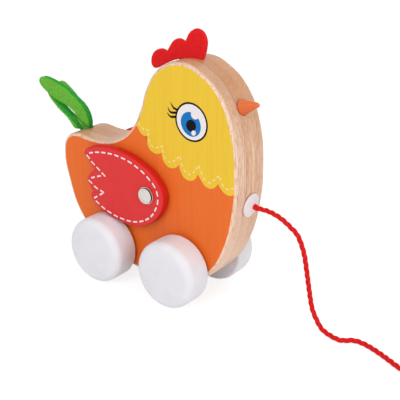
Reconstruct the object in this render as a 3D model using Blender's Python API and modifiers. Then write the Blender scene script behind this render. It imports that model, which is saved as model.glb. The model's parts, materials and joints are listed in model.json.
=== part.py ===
"""Pull-along chicken: a hen of three glued boards on two wheeled axles.

Her wings turn on a steel rod, her comb and tail are felt, and a red cord pulls her by the chest.
The origin is on the floor under the middle of the toy. +X is forwards, +Z is up.
"""

import math

import bmesh
import bpy
import numpy as np
from mathutils import Matrix, Vector

# Running and seating gaps
FIT_GAP = 0.0003
GLUE_LINE = 0.00015
AXLE_PLAY = 0.0003

# Boards of the body, and the rounding along the painted sides
BOARD = 0.0099
SIDE_ROUND = 0.002

# Outline of the body seen from its right side, as (x, z) from the rear of the flat belly
BELLY_HEIGHT = 0.0078
BELLY_REAR = 0.0108
BELLY_FRONT = 0.0348
CROWN = (0.0433, 0.1563)
OUTLINE = (
    (-0.0162, 0.0132),
    (-0.0352, 0.0232),
    (-0.0494, 0.0385),
    (-0.0574, 0.059),
    (-0.0607, 0.079),
    (-0.0572, 0.0902),
    (-0.0487, 0.0944),
    (-0.0352, 0.0936),
    (-0.0222, 0.0942),
    (-0.0088, 0.0989),
    (0.0022, 0.1082),
    (0.0098, 0.1222),
    (0.0148, 0.1364),
    (0.0250, 0.1501),
    CROWN,
    (0.0583, 0.1517),
    (0.0718, 0.1402),
    (0.0809, 0.1200),
    (0.0843, 0.0900),
    (0.0825, 0.0660),
    (0.0766, 0.0430),
    (0.0664, 0.0247),
    (0.0518, 0.0125),
)

# Wheels and axles
WHEEL_RADIUS = 0.0225
WHEEL_WIDTH = 0.0200
WHEEL_ROUND = 0.0055
WHEEL_DOME = 0.0008
WHEEL_INNER_ROUND = 0.0015
WHEEL_GAP = 0.0018
FRONT_AXLE_X = 0.0428
WHEELBASE = 0.0604
AXLE_RADIUS = 0.004
AXLE_SEAT = 0.014

# Wings and their pivot, set so high over the wheels that the wings clear them
PIVOT_X = 0.0196
PIVOT_OVER_WHEELS = 0.0232
PIVOT_RADIUS = 0.0025
WING = 0.0062
WING_ROUND = 0.0014
LEFT_WING_RAISE = math.radians(4.2)
WASHER = 0.0005
WASHER_RADIUS = 0.0055
CAP_RADIUS = 0.006
CAP_DOME = 0.0009
CAP_RIM = 0.0013
CAP_SEAT = 0.0013

# Wing outline as (x, z) from the pivot, with the three finger feathers at the rear
WING_OUTLINE = (
    (-0.0540, 0.0172),
    (-0.0518, 0.0140),
    (-0.0484, 0.0104),
    (-0.0456, 0.0062),
    (-0.0498, 0.0034),
    (-0.0526, -0.0008),
    (-0.0512, -0.0050),
    (-0.0482, -0.0084),
    (-0.0500, -0.0116),
    (-0.0490, -0.0148),
    (-0.0444, -0.0184),
    (-0.0380, -0.0215),
    (-0.0296, -0.0236),
    (-0.0194, -0.0251),
    (-0.0082, -0.0244),
    (0.0016, -0.0200),
    (0.0086, -0.0136),
    (0.0126, -0.0063),
    (0.0137, 0.0004),
    (0.0124, 0.0060),
    (0.0088, 0.0110),
    (0.0032, 0.0160),
    (-0.0042, 0.0199),
    (-0.0122, 0.0229),
    (-0.0219, 0.0249),
    (-0.0306, 0.0255),
    (-0.0376, 0.0250),
    (-0.0441, 0.0238),
    (-0.0502, 0.0215),
    (-0.0532, 0.0195),
)

# Felt comb, as (x, z) from the crown, and the tongue that holds it in its slot
FELT = 0.003
COMB_OUTLINE = (
    (-0.0351, -0.0069),
    (-0.0346, -0.0090),
    (-0.0331, -0.0106),
    (-0.0311, -0.0107),
    (-0.0283, -0.0093),
    (-0.0243, -0.0071),
    (-0.0195, -0.0047),
    (-0.0147, -0.0029),
    (-0.0120, -0.0022),
    (-0.0114, -0.0074),
    (0.0024, -0.0074),
    (0.0032, -0.0004),
    (0.0045, 0.0018),
    (0.0059, 0.0050),
    (0.0070, 0.0085),
    (0.0073, 0.0115),
    (0.0064, 0.0141),
    (0.0048, 0.0161),
    (0.0026, 0.0173),
    (0.0001, 0.0177),
    (-0.0021, 0.0169),
    (-0.0046, 0.0151),
    (-0.0063, 0.0126),
    (-0.0077, 0.0097),
    (-0.0086, 0.0082),
    (-0.0106, 0.0095),
    (-0.0132, 0.0101),
    (-0.0157, 0.0093),
    (-0.0180, 0.0076),
    (-0.0199, 0.0050),
    (-0.0215, 0.0024),
    (-0.0228, 0.0006),
    (-0.0251, 0.0017),
    (-0.0277, 0.0019),
    (-0.0301, 0.0011),
    (-0.0329, -0.0009),
    (-0.0346, -0.0040),
)
COMB_SLOT_DEPTH = 0.0085
COMB_SLOT_REAR = -0.0150
COMB_SLOT_FRONT = 0.0044

# Hole for the tail, which leans back
TAIL_X = -0.0525
TAIL_HOLE_RADIUS = 0.0053
TAIL_HOLE_DEPTH = 0.010
TAIL_LEAN = math.radians(12)

# Pinched stems of the felt leaves in that hole: forward, sideways, roll in degrees, half width
STEM = 0.002
STEM_DEPTH = 0.009
STEM_RIGHT = (0.0012, -0.0013, -90, 0.0031)
STEM_LEFT = (0.0012, 0.0013, 90, 0.0031)
STEM_REAR = (-0.0032, 0.0, 0, 0.0027)

# Felt leaves as (x, y, z) from the mouth of the hole, half width, and roll in degrees
LEAF_CUP = 0.12
LEAF_RIGHT = (
    (0.0010, -0.0026, 0.0034, 0.0048, -88),
    (0.0011, -0.0035, 0.0080, 0.0050, -88),
    (-0.0014, -0.0048, 0.0138, 0.0049, -88),
    (-0.0085, -0.0056, 0.0191, 0.0053, -88),
    (-0.0190, -0.0060, 0.0230, 0.0061, -88),
    (-0.0284, -0.0060, 0.0264, 0.0053, -88),
    (-0.0337, -0.0060, 0.0283, 0.0036, -88),
    (-0.0361, -0.0060, 0.0292, 0.0013, -88),
)
LEAF_LEFT = (
    (0.0001, 0.0024, 0.0030, 0.0035, 88),
    (-0.0027, 0.0038, 0.0070, 0.0038, 88),
    (-0.0077, 0.0052, 0.0108, 0.0041, 88),
    (-0.0142, 0.0058, 0.0136, 0.0044, 88),
    (-0.0190, 0.0061, 0.0168, 0.0046, 88),
    (-0.0244, 0.0061, 0.0209, 0.0044, 88),
    (-0.0278, 0.0061, 0.0239, 0.0033, 88),
    (-0.0296, 0.0061, 0.0255, 0.0013, 88),
)
LEAF_REAR = (
    (-0.0058, -0.0011, 0.0006, 0.0045, 10),
    (-0.0084, -0.0014, 0.0030, 0.0046, 20),
    (-0.0111, -0.0017, 0.0053, 0.0044, 26),
    (-0.0141, -0.0020, 0.0074, 0.0043, 28),
    (-0.0198, -0.0018, 0.0107, 0.0044, 28),
    (-0.0259, -0.0011, 0.0146, 0.0043, 28),
    (-0.0307, -0.0003, 0.0177, 0.0034, 28),
    (-0.0334, 0.0004, 0.0195, 0.0017, 28),
)

# Beak, turned with its own peg
BEAK_HEIGHT = 0.1316
BEAK_TILT = math.radians(16)
BEAK_RADIUS = 0.0051
BEAK_EDGE = 0.0004
BEAK_LENGTH = 0.0124
BEAK_TIP_RADIUS = 0.0016
BEAK_PEG_RADIUS = 0.003
BEAK_PEG = 0.009

# Cord, the white plug in the chest that it comes out of, and its knots
CORD_RADIUS = 0.0015
PLUG_HEIGHT = 0.0699
PLUG_SIDE = 0.0015
PLUG_HEAD_RADIUS = 0.0078
PLUG_RIM = 0.0008
PLUG_DOME = 0.0020
PLUG_SHANK_RADIUS = 0.0038
PLUG_SHANK = 0.011
KNOT_RADIUS = 0.0032
KNOT_LENGTH = 0.0058

# Points of the free cord after the plug: out, down under its own weight, then along the floor
CORD_ROUTE = (
    (0.0913, 0.0013, 0.0692),
    (0.0950, 0.0010, 0.0694),
    (0.0988, 0.0007, 0.0692),
    (0.1026, 0.0004, 0.0685),
    (0.1063, 0.0002, 0.0674),
    (0.1100, 0.0, 0.0657),
    (0.1136, 0.0, 0.0634),
    (0.1188, 0.0, 0.0593),
    (0.1234, 0.0, 0.0494),
    (0.1260, 0.0, 0.0378),
    (0.1286, 0.0, 0.0246),
    (0.1312, 0.0, 0.0138),
    (0.1354, 0.0, 0.0062),
    (0.1392, -0.0008, 0.0029),
    (0.1450, -0.0022, 0.0018),
    (0.1533, -0.0036, 0.0018),
    (0.1600, 0.0010, 0.0018),
    (0.1678, 0.0010, 0.0018),
    (0.1786, -0.0026, 0.0018),
    (0.1868, -0.0062, 0.0018),
    (0.1946, -0.0097, 0.0018),
)

# Coil of the spare cord, as for storage: two layers of two turns, wound in and back out
COIL_MIDDLE = (0.2154, 0.0043)
COIL_OUTER = 0.0195
COIL_START = math.radians(-108)
COIL_PITCH = 0.0035
COIL_RISE = 0.0035
COIL_LIFT = 0.0009
COIL_TURNS = 2
COIL_POINTS = 24
BAND = 0.0004
BAND_WIDTH = 0.005
BAND_PLACE = math.radians(100)

# Wooden bead to hold, on the last of the cord
BEAD_RADIUS = 0.010
BEAD_FLAT_RADIUS = 0.0045
BEAD_FORWARD = 0.0265

# Facets round each kind of turned piece
WHEEL_STEPS = 40
ROUND_STEPS = 32
SMALL_STEPS = 24
BODY_STEPS = 5
PLATE_STEPS = 3
GUIDE_STEPS = 32

# Derived sizes
SLAB = 3 * BOARD + 2 * GLUE_LINE
SIDE = SLAB / 2
AXLE_HEIGHT = WHEEL_RADIUS
PIVOT = (PIVOT_X, 2 * WHEEL_RADIUS + PIVOT_OVER_WHEELS)
REAR_AXLE_X = FRONT_AXLE_X - WHEELBASE
WING_GAP = WASHER + 2 * FIT_GAP
WING_INSIDE = SIDE + WING_GAP
WING_OUTSIDE = WING_INSIDE + WING
WHEEL_INSIDE = SIDE + WHEEL_GAP
AXLE_HALF = WHEEL_INSIDE + AXLE_SEAT - FIT_GAP
CAP_INSIDE = WING_OUTSIDE + FIT_GAP
PIVOT_HALF = CAP_INSIDE + CAP_SEAT - FIT_GAP
RUMP = OUTLINE[6][1]
CORD_BORE = CORD_RADIUS + FIT_GAP
COIL_LEAD = 3 * CORD_RADIUS
BEAD_HALF = math.sqrt(BEAD_RADIUS**2 - BEAD_FLAT_RADIUS**2)

toy = bpy.data.collections.new("pull_along_chicken")
cutters = bpy.data.collections.new("cutters")


def clear_scene():
    """Empties the scene and links the two collections."""
    for old in list(bpy.data.objects):
        bpy.data.objects.remove(old, do_unlink=True)
    bpy.context.scene.collection.children.link(toy)
    bpy.context.scene.collection.children.link(cutters)


def material(name, colour, roughness, metallic=0.0):
    """A plain surface: its colour, roughness and metallic value."""
    made = bpy.data.materials.new(name)
    made.use_nodes = True
    surface = made.node_tree.nodes["Principled BSDF"]
    surface.inputs["Base Color"].default_value = (*colour, 1.0)
    surface.inputs["Roughness"].default_value = roughness
    surface.inputs["Metallic"].default_value = metallic
    return made


def finish(obj, surface, home=toy):
    """Files an object in its collection, with its surface and smooth round faces."""
    for shelf in list(obj.users_collection):
        shelf.objects.unlink(obj)
    home.objects.link(obj)
    obj.data.materials.clear()
    obj.data.materials.append(surface)
    if obj.type == "MESH":
        obj.data.shade_smooth()
        obj.data.set_sharp_from_angle(angle=math.radians(35))
    return obj


def spline_curve(name, points, steps, sharp=()):
    """A closed flat curve through the points, smooth except at those numbered in sharp."""
    curve = bpy.data.curves.new(name, "CURVE")
    curve.dimensions = "2D"
    curve.resolution_u = steps
    line = curve.splines.new("BEZIER")
    line.bezier_points.add(len(points) - 1)
    for number, (knot, (x, z)) in enumerate(zip(line.bezier_points, points)):
        knot.co = (x, z, 0)
        kind = "VECTOR" if number in sharp else "AUTO"
        knot.handle_left_type = kind
        knot.handle_right_type = kind
    line.use_cyclic_u = True
    return curve


def as_mesh(name, curve_object):
    """Turns a curve object into a welded mesh object in the same place."""
    bpy.context.scene.collection.objects.link(curve_object)
    bpy.context.view_layer.update()
    graph = bpy.context.evaluated_depsgraph_get()
    mesh = bpy.data.meshes.new_from_object(curve_object.evaluated_get(graph))
    mesh.transform(curve_object.matrix_world)
    shell = bmesh.new()
    shell.from_mesh(mesh)
    bmesh.ops.remove_doubles(shell, verts=shell.verts, dist=0.00001)
    bmesh.ops.recalc_face_normals(shell, faces=shell.faces)
    shell.to_mesh(mesh)
    shell.free()
    bpy.data.objects.remove(curve_object, do_unlink=True)
    return bpy.data.objects.new(name, mesh)


def plate(name, points, thickness, rounding, steps=PLATE_STEPS, sharp=()):
    """A flat outline in the XZ plane, centred on y = 0, its long edges rounded."""
    curve = spline_curve(name, points, steps, sharp)
    curve.fill_mode = "BOTH"
    curve.extrude = thickness / 2 - rounding
    curve.bevel_depth = rounding
    curve.bevel_resolution = 1
    curve.offset = -rounding
    holder = bpy.data.objects.new(name, curve)
    holder.rotation_euler = (math.pi / 2, 0, 0)
    return as_mesh(name, holder)


def keep_between(obj, low, high):
    """Saws an object flat at y = low and y = high and keeps what lies between."""
    shell = bmesh.new()
    shell.from_mesh(obj.data)
    for place, outward in ((low, -1), (high, 1)):
        everything = shell.verts[:] + shell.edges[:] + shell.faces[:]
        sawn = bmesh.ops.bisect_plane(
            shell,
            geom=everything,
            plane_co=(0, place, 0),
            plane_no=(0, outward, 0),
            clear_outer=True,
        )
        rim = [part for part in sawn["geom_cut"] if isinstance(part, bmesh.types.BMEdge)]
        bmesh.ops.holes_fill(shell, edges=rim)
    bmesh.ops.recalc_face_normals(shell, faces=shell.faces)
    shell.to_mesh(obj.data)
    shell.free()


def turned(name, profile, steps=ROUND_STEPS):
    """A profile of (radius, height) points, from the top down, turned about Z."""
    mesh = bpy.data.meshes.new(name)
    edges = [(number, number + 1) for number in range(len(profile) - 1)]
    mesh.from_pydata([(radius, 0, height) for radius, height in profile], edges, [])
    obj = bpy.data.objects.new(name, mesh)
    screw = obj.modifiers.new("Turning", "SCREW")
    screw.steps = steps
    screw.render_steps = steps
    screw.use_merge_vertices = True
    screw.merge_threshold = 0.00001
    return obj


def arc(centre, radius, start, end, steps):
    """Points on a circle of the (radius, height) plane, angles in degrees."""
    for step in range(steps + 1):
        angle = math.radians(start + (end - start) * step / steps)
        yield (centre[0] + radius * math.cos(angle), centre[1] + radius * math.sin(angle))


def cylinder(name, radius, start, end, steps=ROUND_STEPS):
    """A round bar from one point to another."""
    start = Vector(start)
    along = Vector(end) - start
    shell = bmesh.new()
    bmesh.ops.create_cone(
        shell, cap_ends=True, segments=steps, radius1=radius, radius2=radius, depth=along.length
    )
    turn = Vector((0, 0, 1)).rotation_difference(along).to_matrix().to_4x4()
    bmesh.ops.transform(
        shell, matrix=Matrix.Translation(start + along / 2) @ turn, verts=shell.verts
    )
    mesh = bpy.data.meshes.new(name)
    shell.to_mesh(mesh)
    shell.free()
    return bpy.data.objects.new(name, mesh)


def box(name, low, high):
    """A block between two corners."""
    low, high = Vector(low), Vector(high)
    shell = bmesh.new()
    bmesh.ops.create_cube(shell, size=1)
    bmesh.ops.scale(shell, vec=high - low, verts=shell.verts)
    bmesh.ops.translate(shell, vec=(low + high) / 2, verts=shell.verts)
    mesh = bpy.data.meshes.new(name)
    shell.to_mesh(mesh)
    shell.free()
    return bpy.data.objects.new(name, mesh)


def as_cutter(obj):
    """Files a helper that only cuts."""
    cutters.objects.link(obj)
    obj.hide_render = True
    obj.display_type = "WIRE"
    return obj


def cut(obj, *tools):
    """Takes each tool's shape out of an object."""
    for tool in tools:
        boolean = obj.modifiers.new(tool.name, "BOOLEAN")
        boolean.operation = "DIFFERENCE"
        boolean.object = tool


def body_outline():
    """The whole outline of the body, with the flat belly first."""
    return ((BELLY_FRONT, BELLY_HEIGHT), (BELLY_REAR, BELLY_HEIGHT), *OUTLINE)


def front_at(height):
    """Where the front of the body is at a height, and its outward direction in the XZ plane."""
    guide = spline_curve("front_guide", body_outline(), GUIDE_STEPS)
    holder = bpy.data.objects.new("front_guide", guide)
    line = as_mesh("front_line", holder)
    points = [vertex.co.copy() for vertex in line.data.vertices]
    bpy.data.meshes.remove(line.data)
    front = [point for point in points if point.x > CROWN[0]]
    front.sort(key=lambda point: point.y)
    above = next(number for number, point in enumerate(front) if point.y >= height)
    lower, upper = front[above - 1], front[above]
    share = (height - lower.y) / (upper.y - lower.y)
    place = lower.lerp(upper, share)
    rise = (upper - lower).normalized()
    return Vector((place.x, 0, height)), Vector((rise.y, 0, -rise.x))


def make_boards():
    """The three boards of the body, with every hole that is drilled through or into them."""
    boards = []
    pitch = BOARD + GLUE_LINE
    for name, middle in (
        ("body_board_right", -pitch),
        ("body_board_core", 0.0),
        ("body_board_left", pitch),
    ):
        board = plate(name, body_outline(), SLAB, SIDE_ROUND, BODY_STEPS, (0, 1))
        keep_between(board, middle - BOARD / 2, middle + BOARD / 2)
        finish(board, WOOD)
        boards.append(board)
    return boards


def drill_boards(boards):
    """Bores for the axles and the wing rod go right through, the others into the core."""
    core = boards[1]
    through = [
        as_cutter(
            cylinder(
                name, radius, (x, -SIDE - SIDE_ROUND, z), (x, SIDE + SIDE_ROUND, z), SMALL_STEPS
            )
        )
        for name, radius, x, z in (
            ("front_axle_bore", AXLE_RADIUS + AXLE_PLAY, FRONT_AXLE_X, AXLE_HEIGHT),
            ("rear_axle_bore", AXLE_RADIUS + AXLE_PLAY, REAR_AXLE_X, AXLE_HEIGHT),
            ("wing_rod_bore", PIVOT_RADIUS + FIT_GAP, *PIVOT),
        )
    ]
    tail_mouth, tail_way = tail_axis()
    tail_bore = as_cutter(
        cylinder(
            "tail_bore",
            TAIL_HOLE_RADIUS,
            tail_mouth - TAIL_HOLE_DEPTH * tail_way,
            tail_mouth + TAIL_HOLE_DEPTH * tail_way,
            SMALL_STEPS,
        )
    )
    slot = as_cutter(
        box(
            "comb_slot",
            (CROWN[0] + COMB_SLOT_REAR, -FELT / 2 - FIT_GAP, CROWN[1] - COMB_SLOT_DEPTH),
            (CROWN[0] + COMB_SLOT_FRONT, FELT / 2 + FIT_GAP, CROWN[1] + COMB_SLOT_DEPTH),
        )
    )
    seat, _ = front_at(BEAK_HEIGHT)
    way = Vector((math.cos(BEAK_TILT), 0, math.sin(BEAK_TILT)))
    beak_seat = as_cutter(
        cylinder(
            "beak_seat",
            BEAK_RADIUS + FIT_GAP,
            seat - FIT_GAP * way,
            seat + BEAK_LENGTH * way,
            ROUND_STEPS,
        )
    )
    beak_bore = as_cutter(
        cylinder(
            "beak_bore",
            BEAK_PEG_RADIUS + FIT_GAP,
            seat - (BEAK_PEG + FIT_GAP) * way,
            seat + BEAK_PEG * way,
            SMALL_STEPS,
        )
    )
    chest, outward = front_at(PLUG_HEIGHT)
    chest.y = PLUG_SIDE
    depth = PLUG_SHANK + KNOT_LENGTH + 3 * FIT_GAP
    plug_bore = as_cutter(
        cylinder(
            "plug_bore",
            PLUG_SHANK_RADIUS + FIT_GAP,
            chest - depth * outward,
            chest + PLUG_SHANK * outward,
            SMALL_STEPS,
        )
    )
    cut(core, slot, beak_bore)
    for board in boards:
        cut(board, *through, tail_bore, beak_seat, plug_bore)


def tail_axis():
    """The mouth of the tail's hole on the rump, and the way out of it."""
    mouth = Vector((TAIL_X, 0, RUMP))
    return mouth, Vector((-math.sin(TAIL_LEAN), 0, math.cos(TAIL_LEAN)))


def smooth_rows(rows, steps):
    """More rows of numbers on a smooth line through the given ones."""
    rows = np.array(rows, float)
    ends = np.vstack([2 * rows[0] - rows[1], rows, 2 * rows[-1] - rows[-2]])
    made = []
    for before, here, after, beyond in zip(ends, ends[1:], ends[2:], ends[3:]):
        for step in range(steps):
            t = step / steps
            bend = (2 * before - 5 * here + 4 * after - beyond) * t**2
            turn = (3 * here - before - 3 * after + beyond) * t**3
            made.append(here + ((after - before) * t + bend + turn) / 2)
    made.append(rows[-1])
    return np.array(made)


def leaf(name, stations, stem_place):
    """A cupped felt leaf: a pinched stem down its hole, then rows across it to its tip."""
    mouth, way = tail_axis()
    front = Vector((way.z, 0, -way.x))
    ahead, aside, stem_roll, stem_half_width = stem_place
    stem = []
    for height in (-STEM_DEPTH, -STEM_DEPTH / 2, 0.0):
        place = mouth + height * way + ahead * front + Vector((0, aside, 0))
        stem.append((*place, stem_half_width, stem_roll, STEM))
    blade = [
        (x + mouth.x, y, z + mouth.z, half_width, roll, FELT)
        for x, y, z, half_width, roll in stations
    ]
    rows = smooth_rows(stem + blade, 2)
    ways = np.gradient(rows[:, :3], axis=0)
    points = []
    for (x, y, z, half_width, roll, thick), along in zip(rows.tolist(), ways.tolist()):
        along = Vector(along).normalized()
        side = Vector((0, 1, 0))
        side = (side - side.dot(along) * along).normalized()
        side.rotate(Matrix.Rotation(math.radians(roll), 3, along))
        up = side.cross(along)
        cup = LEAF_CUP * half_width * min(1, (thick - STEM) / (FELT - STEM))
        for face in (1, -1):
            for share in (-1, -0.5, 0, 0.5, 1):
                across = Vector((x, y, z)) + share * half_width * side
                points.append(across + (face * thick / 2 - cup * share**2) * up)
    faces = []
    for row in range(len(rows) - 1):
        base = 10 * row
        for column in range(4):
            a = base + column
            faces.append((a, a + 1, a + 11, a + 10))
            faces.append((a + 5, a + 15, a + 16, a + 6))
        faces.append((base, base + 10, base + 15, base + 5))
        faces.append((base + 4, base + 9, base + 19, base + 14))
    last = 10 * (len(rows) - 1)
    faces.append((0, 5, 6, 7, 8, 9, 4, 3, 2, 1))
    faces.append(tuple(last + n for n in (0, 1, 2, 3, 4, 9, 8, 7, 6, 5)))
    mesh = bpy.data.meshes.new(name)
    mesh.from_pydata(points, [], faces)
    shell = bmesh.new()
    shell.from_mesh(mesh)
    bmesh.ops.triangulate(shell, faces=shell.faces)
    bmesh.ops.recalc_face_normals(shell, faces=shell.faces)
    shell.to_mesh(mesh)
    shell.free()
    return finish(bpy.data.objects.new(name, mesh), FELT_GREEN)


def make_tail():
    """Three felt leaves in one hole: two upright side by side, one lying behind them."""
    leaf("tail_leaf_right", LEAF_RIGHT, STEM_RIGHT)
    leaf("tail_leaf_left", LEAF_LEFT, STEM_LEFT)
    leaf("tail_leaf_rear", LEAF_REAR, STEM_REAR)


def make_wheelset(name, x):
    """An axle with a wheel pressed on each end, all turning about the axle."""
    axle = cylinder(name + "_axle", AXLE_RADIUS, (0, -AXLE_HALF, 0), (0, AXLE_HALF, 0), SMALL_STEPS)
    axle.location = (x, 0, AXLE_HEIGHT)
    finish(axle, DOWEL)
    shoulder = WHEEL_WIDTH - WHEEL_DOME - WHEEL_ROUND
    face = WHEEL_RADIUS - WHEEL_ROUND
    bore = AXLE_RADIUS + FIT_GAP / 2
    profile = [
        (0, WHEEL_WIDTH),
        (face * 0.5, WHEEL_WIDTH - WHEEL_DOME * 0.25),
        *arc((face, shoulder), WHEEL_ROUND, 90, 0, 5),
        *arc((WHEEL_RADIUS - WHEEL_INNER_ROUND, WHEEL_INNER_ROUND), WHEEL_INNER_ROUND, 0, -90, 2),
        (bore, 0),
        (bore, AXLE_SEAT),
        (0, AXLE_SEAT),
    ]
    for side, turn in (("right", math.pi / 2), ("left", -math.pi / 2)):
        wheel = turned(f"{name}_wheel_{side}", profile, WHEEL_STEPS)
        way = -1 if side == "right" else 1
        wheel.rotation_euler = (turn, 0, 0)
        wheel.location = (x, way * WHEEL_INSIDE, AXLE_HEIGHT)
        finish(wheel, WHITE)


def make_wings():
    """Both wings with the rod they turn on, its caps and the washers behind them."""
    rod = cylinder(
        "wing_pivot_rod", PIVOT_RADIUS, (0, -PIVOT_HALF, 0), (0, PIVOT_HALF, 0), SMALL_STEPS
    )
    rod.location = (PIVOT[0], 0, PIVOT[1])
    finish(rod, STEEL)
    cap_inner = PIVOT_RADIUS + FIT_GAP / 2
    cap_profile = [
        (0, CAP_RIM + CAP_DOME),
        (CAP_RADIUS * 0.45, CAP_RIM + CAP_DOME * 0.8),
        (CAP_RADIUS * 0.78, CAP_RIM + CAP_DOME * 0.35),
        (CAP_RADIUS - 0.0003, CAP_RIM),
        (CAP_RADIUS, CAP_RIM - 0.0003),
        (CAP_RADIUS, 0),
        (cap_inner, 0),
        (cap_inner, CAP_SEAT),
        (0, CAP_SEAT),
    ]
    washer_profile = [
        (PIVOT_RADIUS + FIT_GAP, WASHER),
        (WASHER_RADIUS, WASHER),
        (WASHER_RADIUS, 0),
        (PIVOT_RADIUS + FIT_GAP, 0),
        (PIVOT_RADIUS + FIT_GAP, WASHER),
    ]
    for side, way, raise_by in (("right", -1, 0.0), ("left", 1, LEFT_WING_RAISE)):
        wing = plate(f"wing_{side}", WING_OUTLINE, WING, WING_ROUND, sharp=(3, 7))
        middle = way * (WING_INSIDE + WING / 2)
        wing.data.transform(Matrix.Rotation(raise_by, 4, "Y"))
        wing.location = (PIVOT[0], middle, PIVOT[1])
        finish(wing, RED)
        bore = as_cutter(
            cylinder(
                f"wing_bore_{side}",
                PIVOT_RADIUS + FIT_GAP,
                (PIVOT[0], middle - WING, PIVOT[1]),
                (PIVOT[0], middle + WING, PIVOT[1]),
                SMALL_STEPS,
            )
        )
        cut(wing, bore)
        cap = turned(f"wing_cap_{side}", cap_profile)
        cap.rotation_euler = (-way * math.pi / 2, 0, 0)
        cap.location = (PIVOT[0], way * CAP_INSIDE, PIVOT[1])
        finish(cap, NICKEL)
        washer = turned(f"wing_washer_{side}", washer_profile, SMALL_STEPS)
        washer.rotation_euler = (-way * math.pi / 2, 0, 0)
        washer.location = (PIVOT[0], way * (SIDE + FIT_GAP), PIVOT[1])
        finish(washer, NYLON)


def make_comb():
    """Three felt lobes on a tongue that stands in the slot of the core board."""
    comb = plate("comb", COMB_OUTLINE, FELT, FELT * 0.12, sharp=(8, 9, 10, 11, 24, 31))
    comb.location = (CROWN[0], 0, CROWN[1])
    finish(comb, FELT_RED)


def make_beak():
    """A blunt cone with a peg, turned in one piece, in its flat seat."""
    seat, _ = front_at(BEAK_HEIGHT)
    flank = BEAK_LENGTH - BEAK_TIP_RADIUS
    slope = math.atan2(BEAK_RADIUS - BEAK_TIP_RADIUS, flank)
    profile = [
        *arc((0, flank), BEAK_TIP_RADIUS, 90, math.degrees(slope), 4),
        (BEAK_RADIUS, BEAK_EDGE),
        (BEAK_RADIUS - BEAK_EDGE, 0),
        (BEAK_PEG_RADIUS, 0),
        (BEAK_PEG_RADIUS, -BEAK_PEG),
        (0, -BEAK_PEG),
    ]
    beak = turned("beak", profile, ROUND_STEPS)
    beak.rotation_euler = (0, math.pi / 2 - BEAK_TILT, 0)
    beak.location = seat
    finish(beak, ORANGE)


def tube(name, points, resolution):
    """The cord along a list of points, closed at both ends."""
    curve = bpy.data.curves.new(name, "CURVE")
    curve.dimensions = "3D"
    curve.bevel_depth = CORD_RADIUS
    curve.bevel_resolution = resolution
    curve.use_fill_caps = True
    line = curve.splines.new("POLY")
    line.points.add(len(points) - 1)
    for knot, place in zip(line.points, points):
        knot.co = (*place, 1)
    return finish(bpy.data.objects.new(name, curve), CORD_RED)


def barrel(name, middle, way):
    """An overhand knot pulled tight, as its barrel shape."""
    half = KNOT_LENGTH / 2
    profile = [
        (0, half),
        (KNOT_RADIUS * 0.7, half),
        (KNOT_RADIUS, half * 0.45),
        (KNOT_RADIUS, -half * 0.45),
        (KNOT_RADIUS * 0.7, -half),
        (0, -half),
    ]
    knot = turned(name, profile, SMALL_STEPS)
    knot.rotation_euler = way.to_track_quat("Z", "Y").to_euler()
    knot.location = middle
    return finish(knot, CORD_RED)


def coil_frame(angle):
    """Outward and forward directions at an angle round the coil."""
    outward = Vector((math.cos(angle), math.sin(angle), 0))
    return outward, Vector((-outward.y, outward.x, 0))


def coil_points():
    """The spare cord from its straight start, through every turn, to the hole of the bead."""
    middle = Vector((*COIL_MIDDLE, 0))
    lower = COIL_LIFT + CORD_RADIUS
    points = []
    for step in range(2 * COIL_TURNS * COIL_POINTS + 1):
        turn = step / COIL_POINTS
        inward = COIL_TURNS - abs(turn - COIL_TURNS)
        climb = min(1, max(0, (turn - COIL_TURNS + 0.25) / 0.5))
        climb = climb * climb * (3 - 2 * climb)
        outward, _ = coil_frame(COIL_START + 2 * math.pi * turn)
        place = middle + (COIL_OUTER - COIL_PITCH * inward) * outward
        points.append(place + Vector((0, 0, lower + COIL_RISE * climb)))
    _, forward = coil_frame(COIL_START)
    start, end = points[0], points[-1]
    lead = [start - COIL_LEAD * forward, start - COIL_LEAD / 2 * forward]
    bead = Vector((end.x, end.y, BEAD_RADIUS + FIT_GAP)) + BEAD_FORWARD * forward
    mouth = bead - (BEAD_HALF + 3 * CORD_RADIUS) * forward
    last = [
        end.lerp(mouth, 0.45) - Vector((0, 0, CORD_RADIUS * 0.5)),
        mouth,
        mouth + 1.5 * CORD_RADIUS * forward,
        bead + BEAD_HALF * forward,
    ]
    return lead + points + last, bead, forward


def least_gap(points):
    """The least distance between two stretches of the coil that aren't neighbours."""
    line = np.array(points)
    near = 2 * math.pi * COIL_OUTER / 3
    steps = np.linalg.norm(np.diff(line, axis=0), axis=1)
    run = np.concatenate([[0], np.cumsum(steps)])
    apart = np.linalg.norm(line[:, None] - line[None], axis=2)
    apart[np.abs(run[:, None] - run[None]) < near] = 1
    return apart.min() - 2 * CORD_RADIUS


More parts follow.
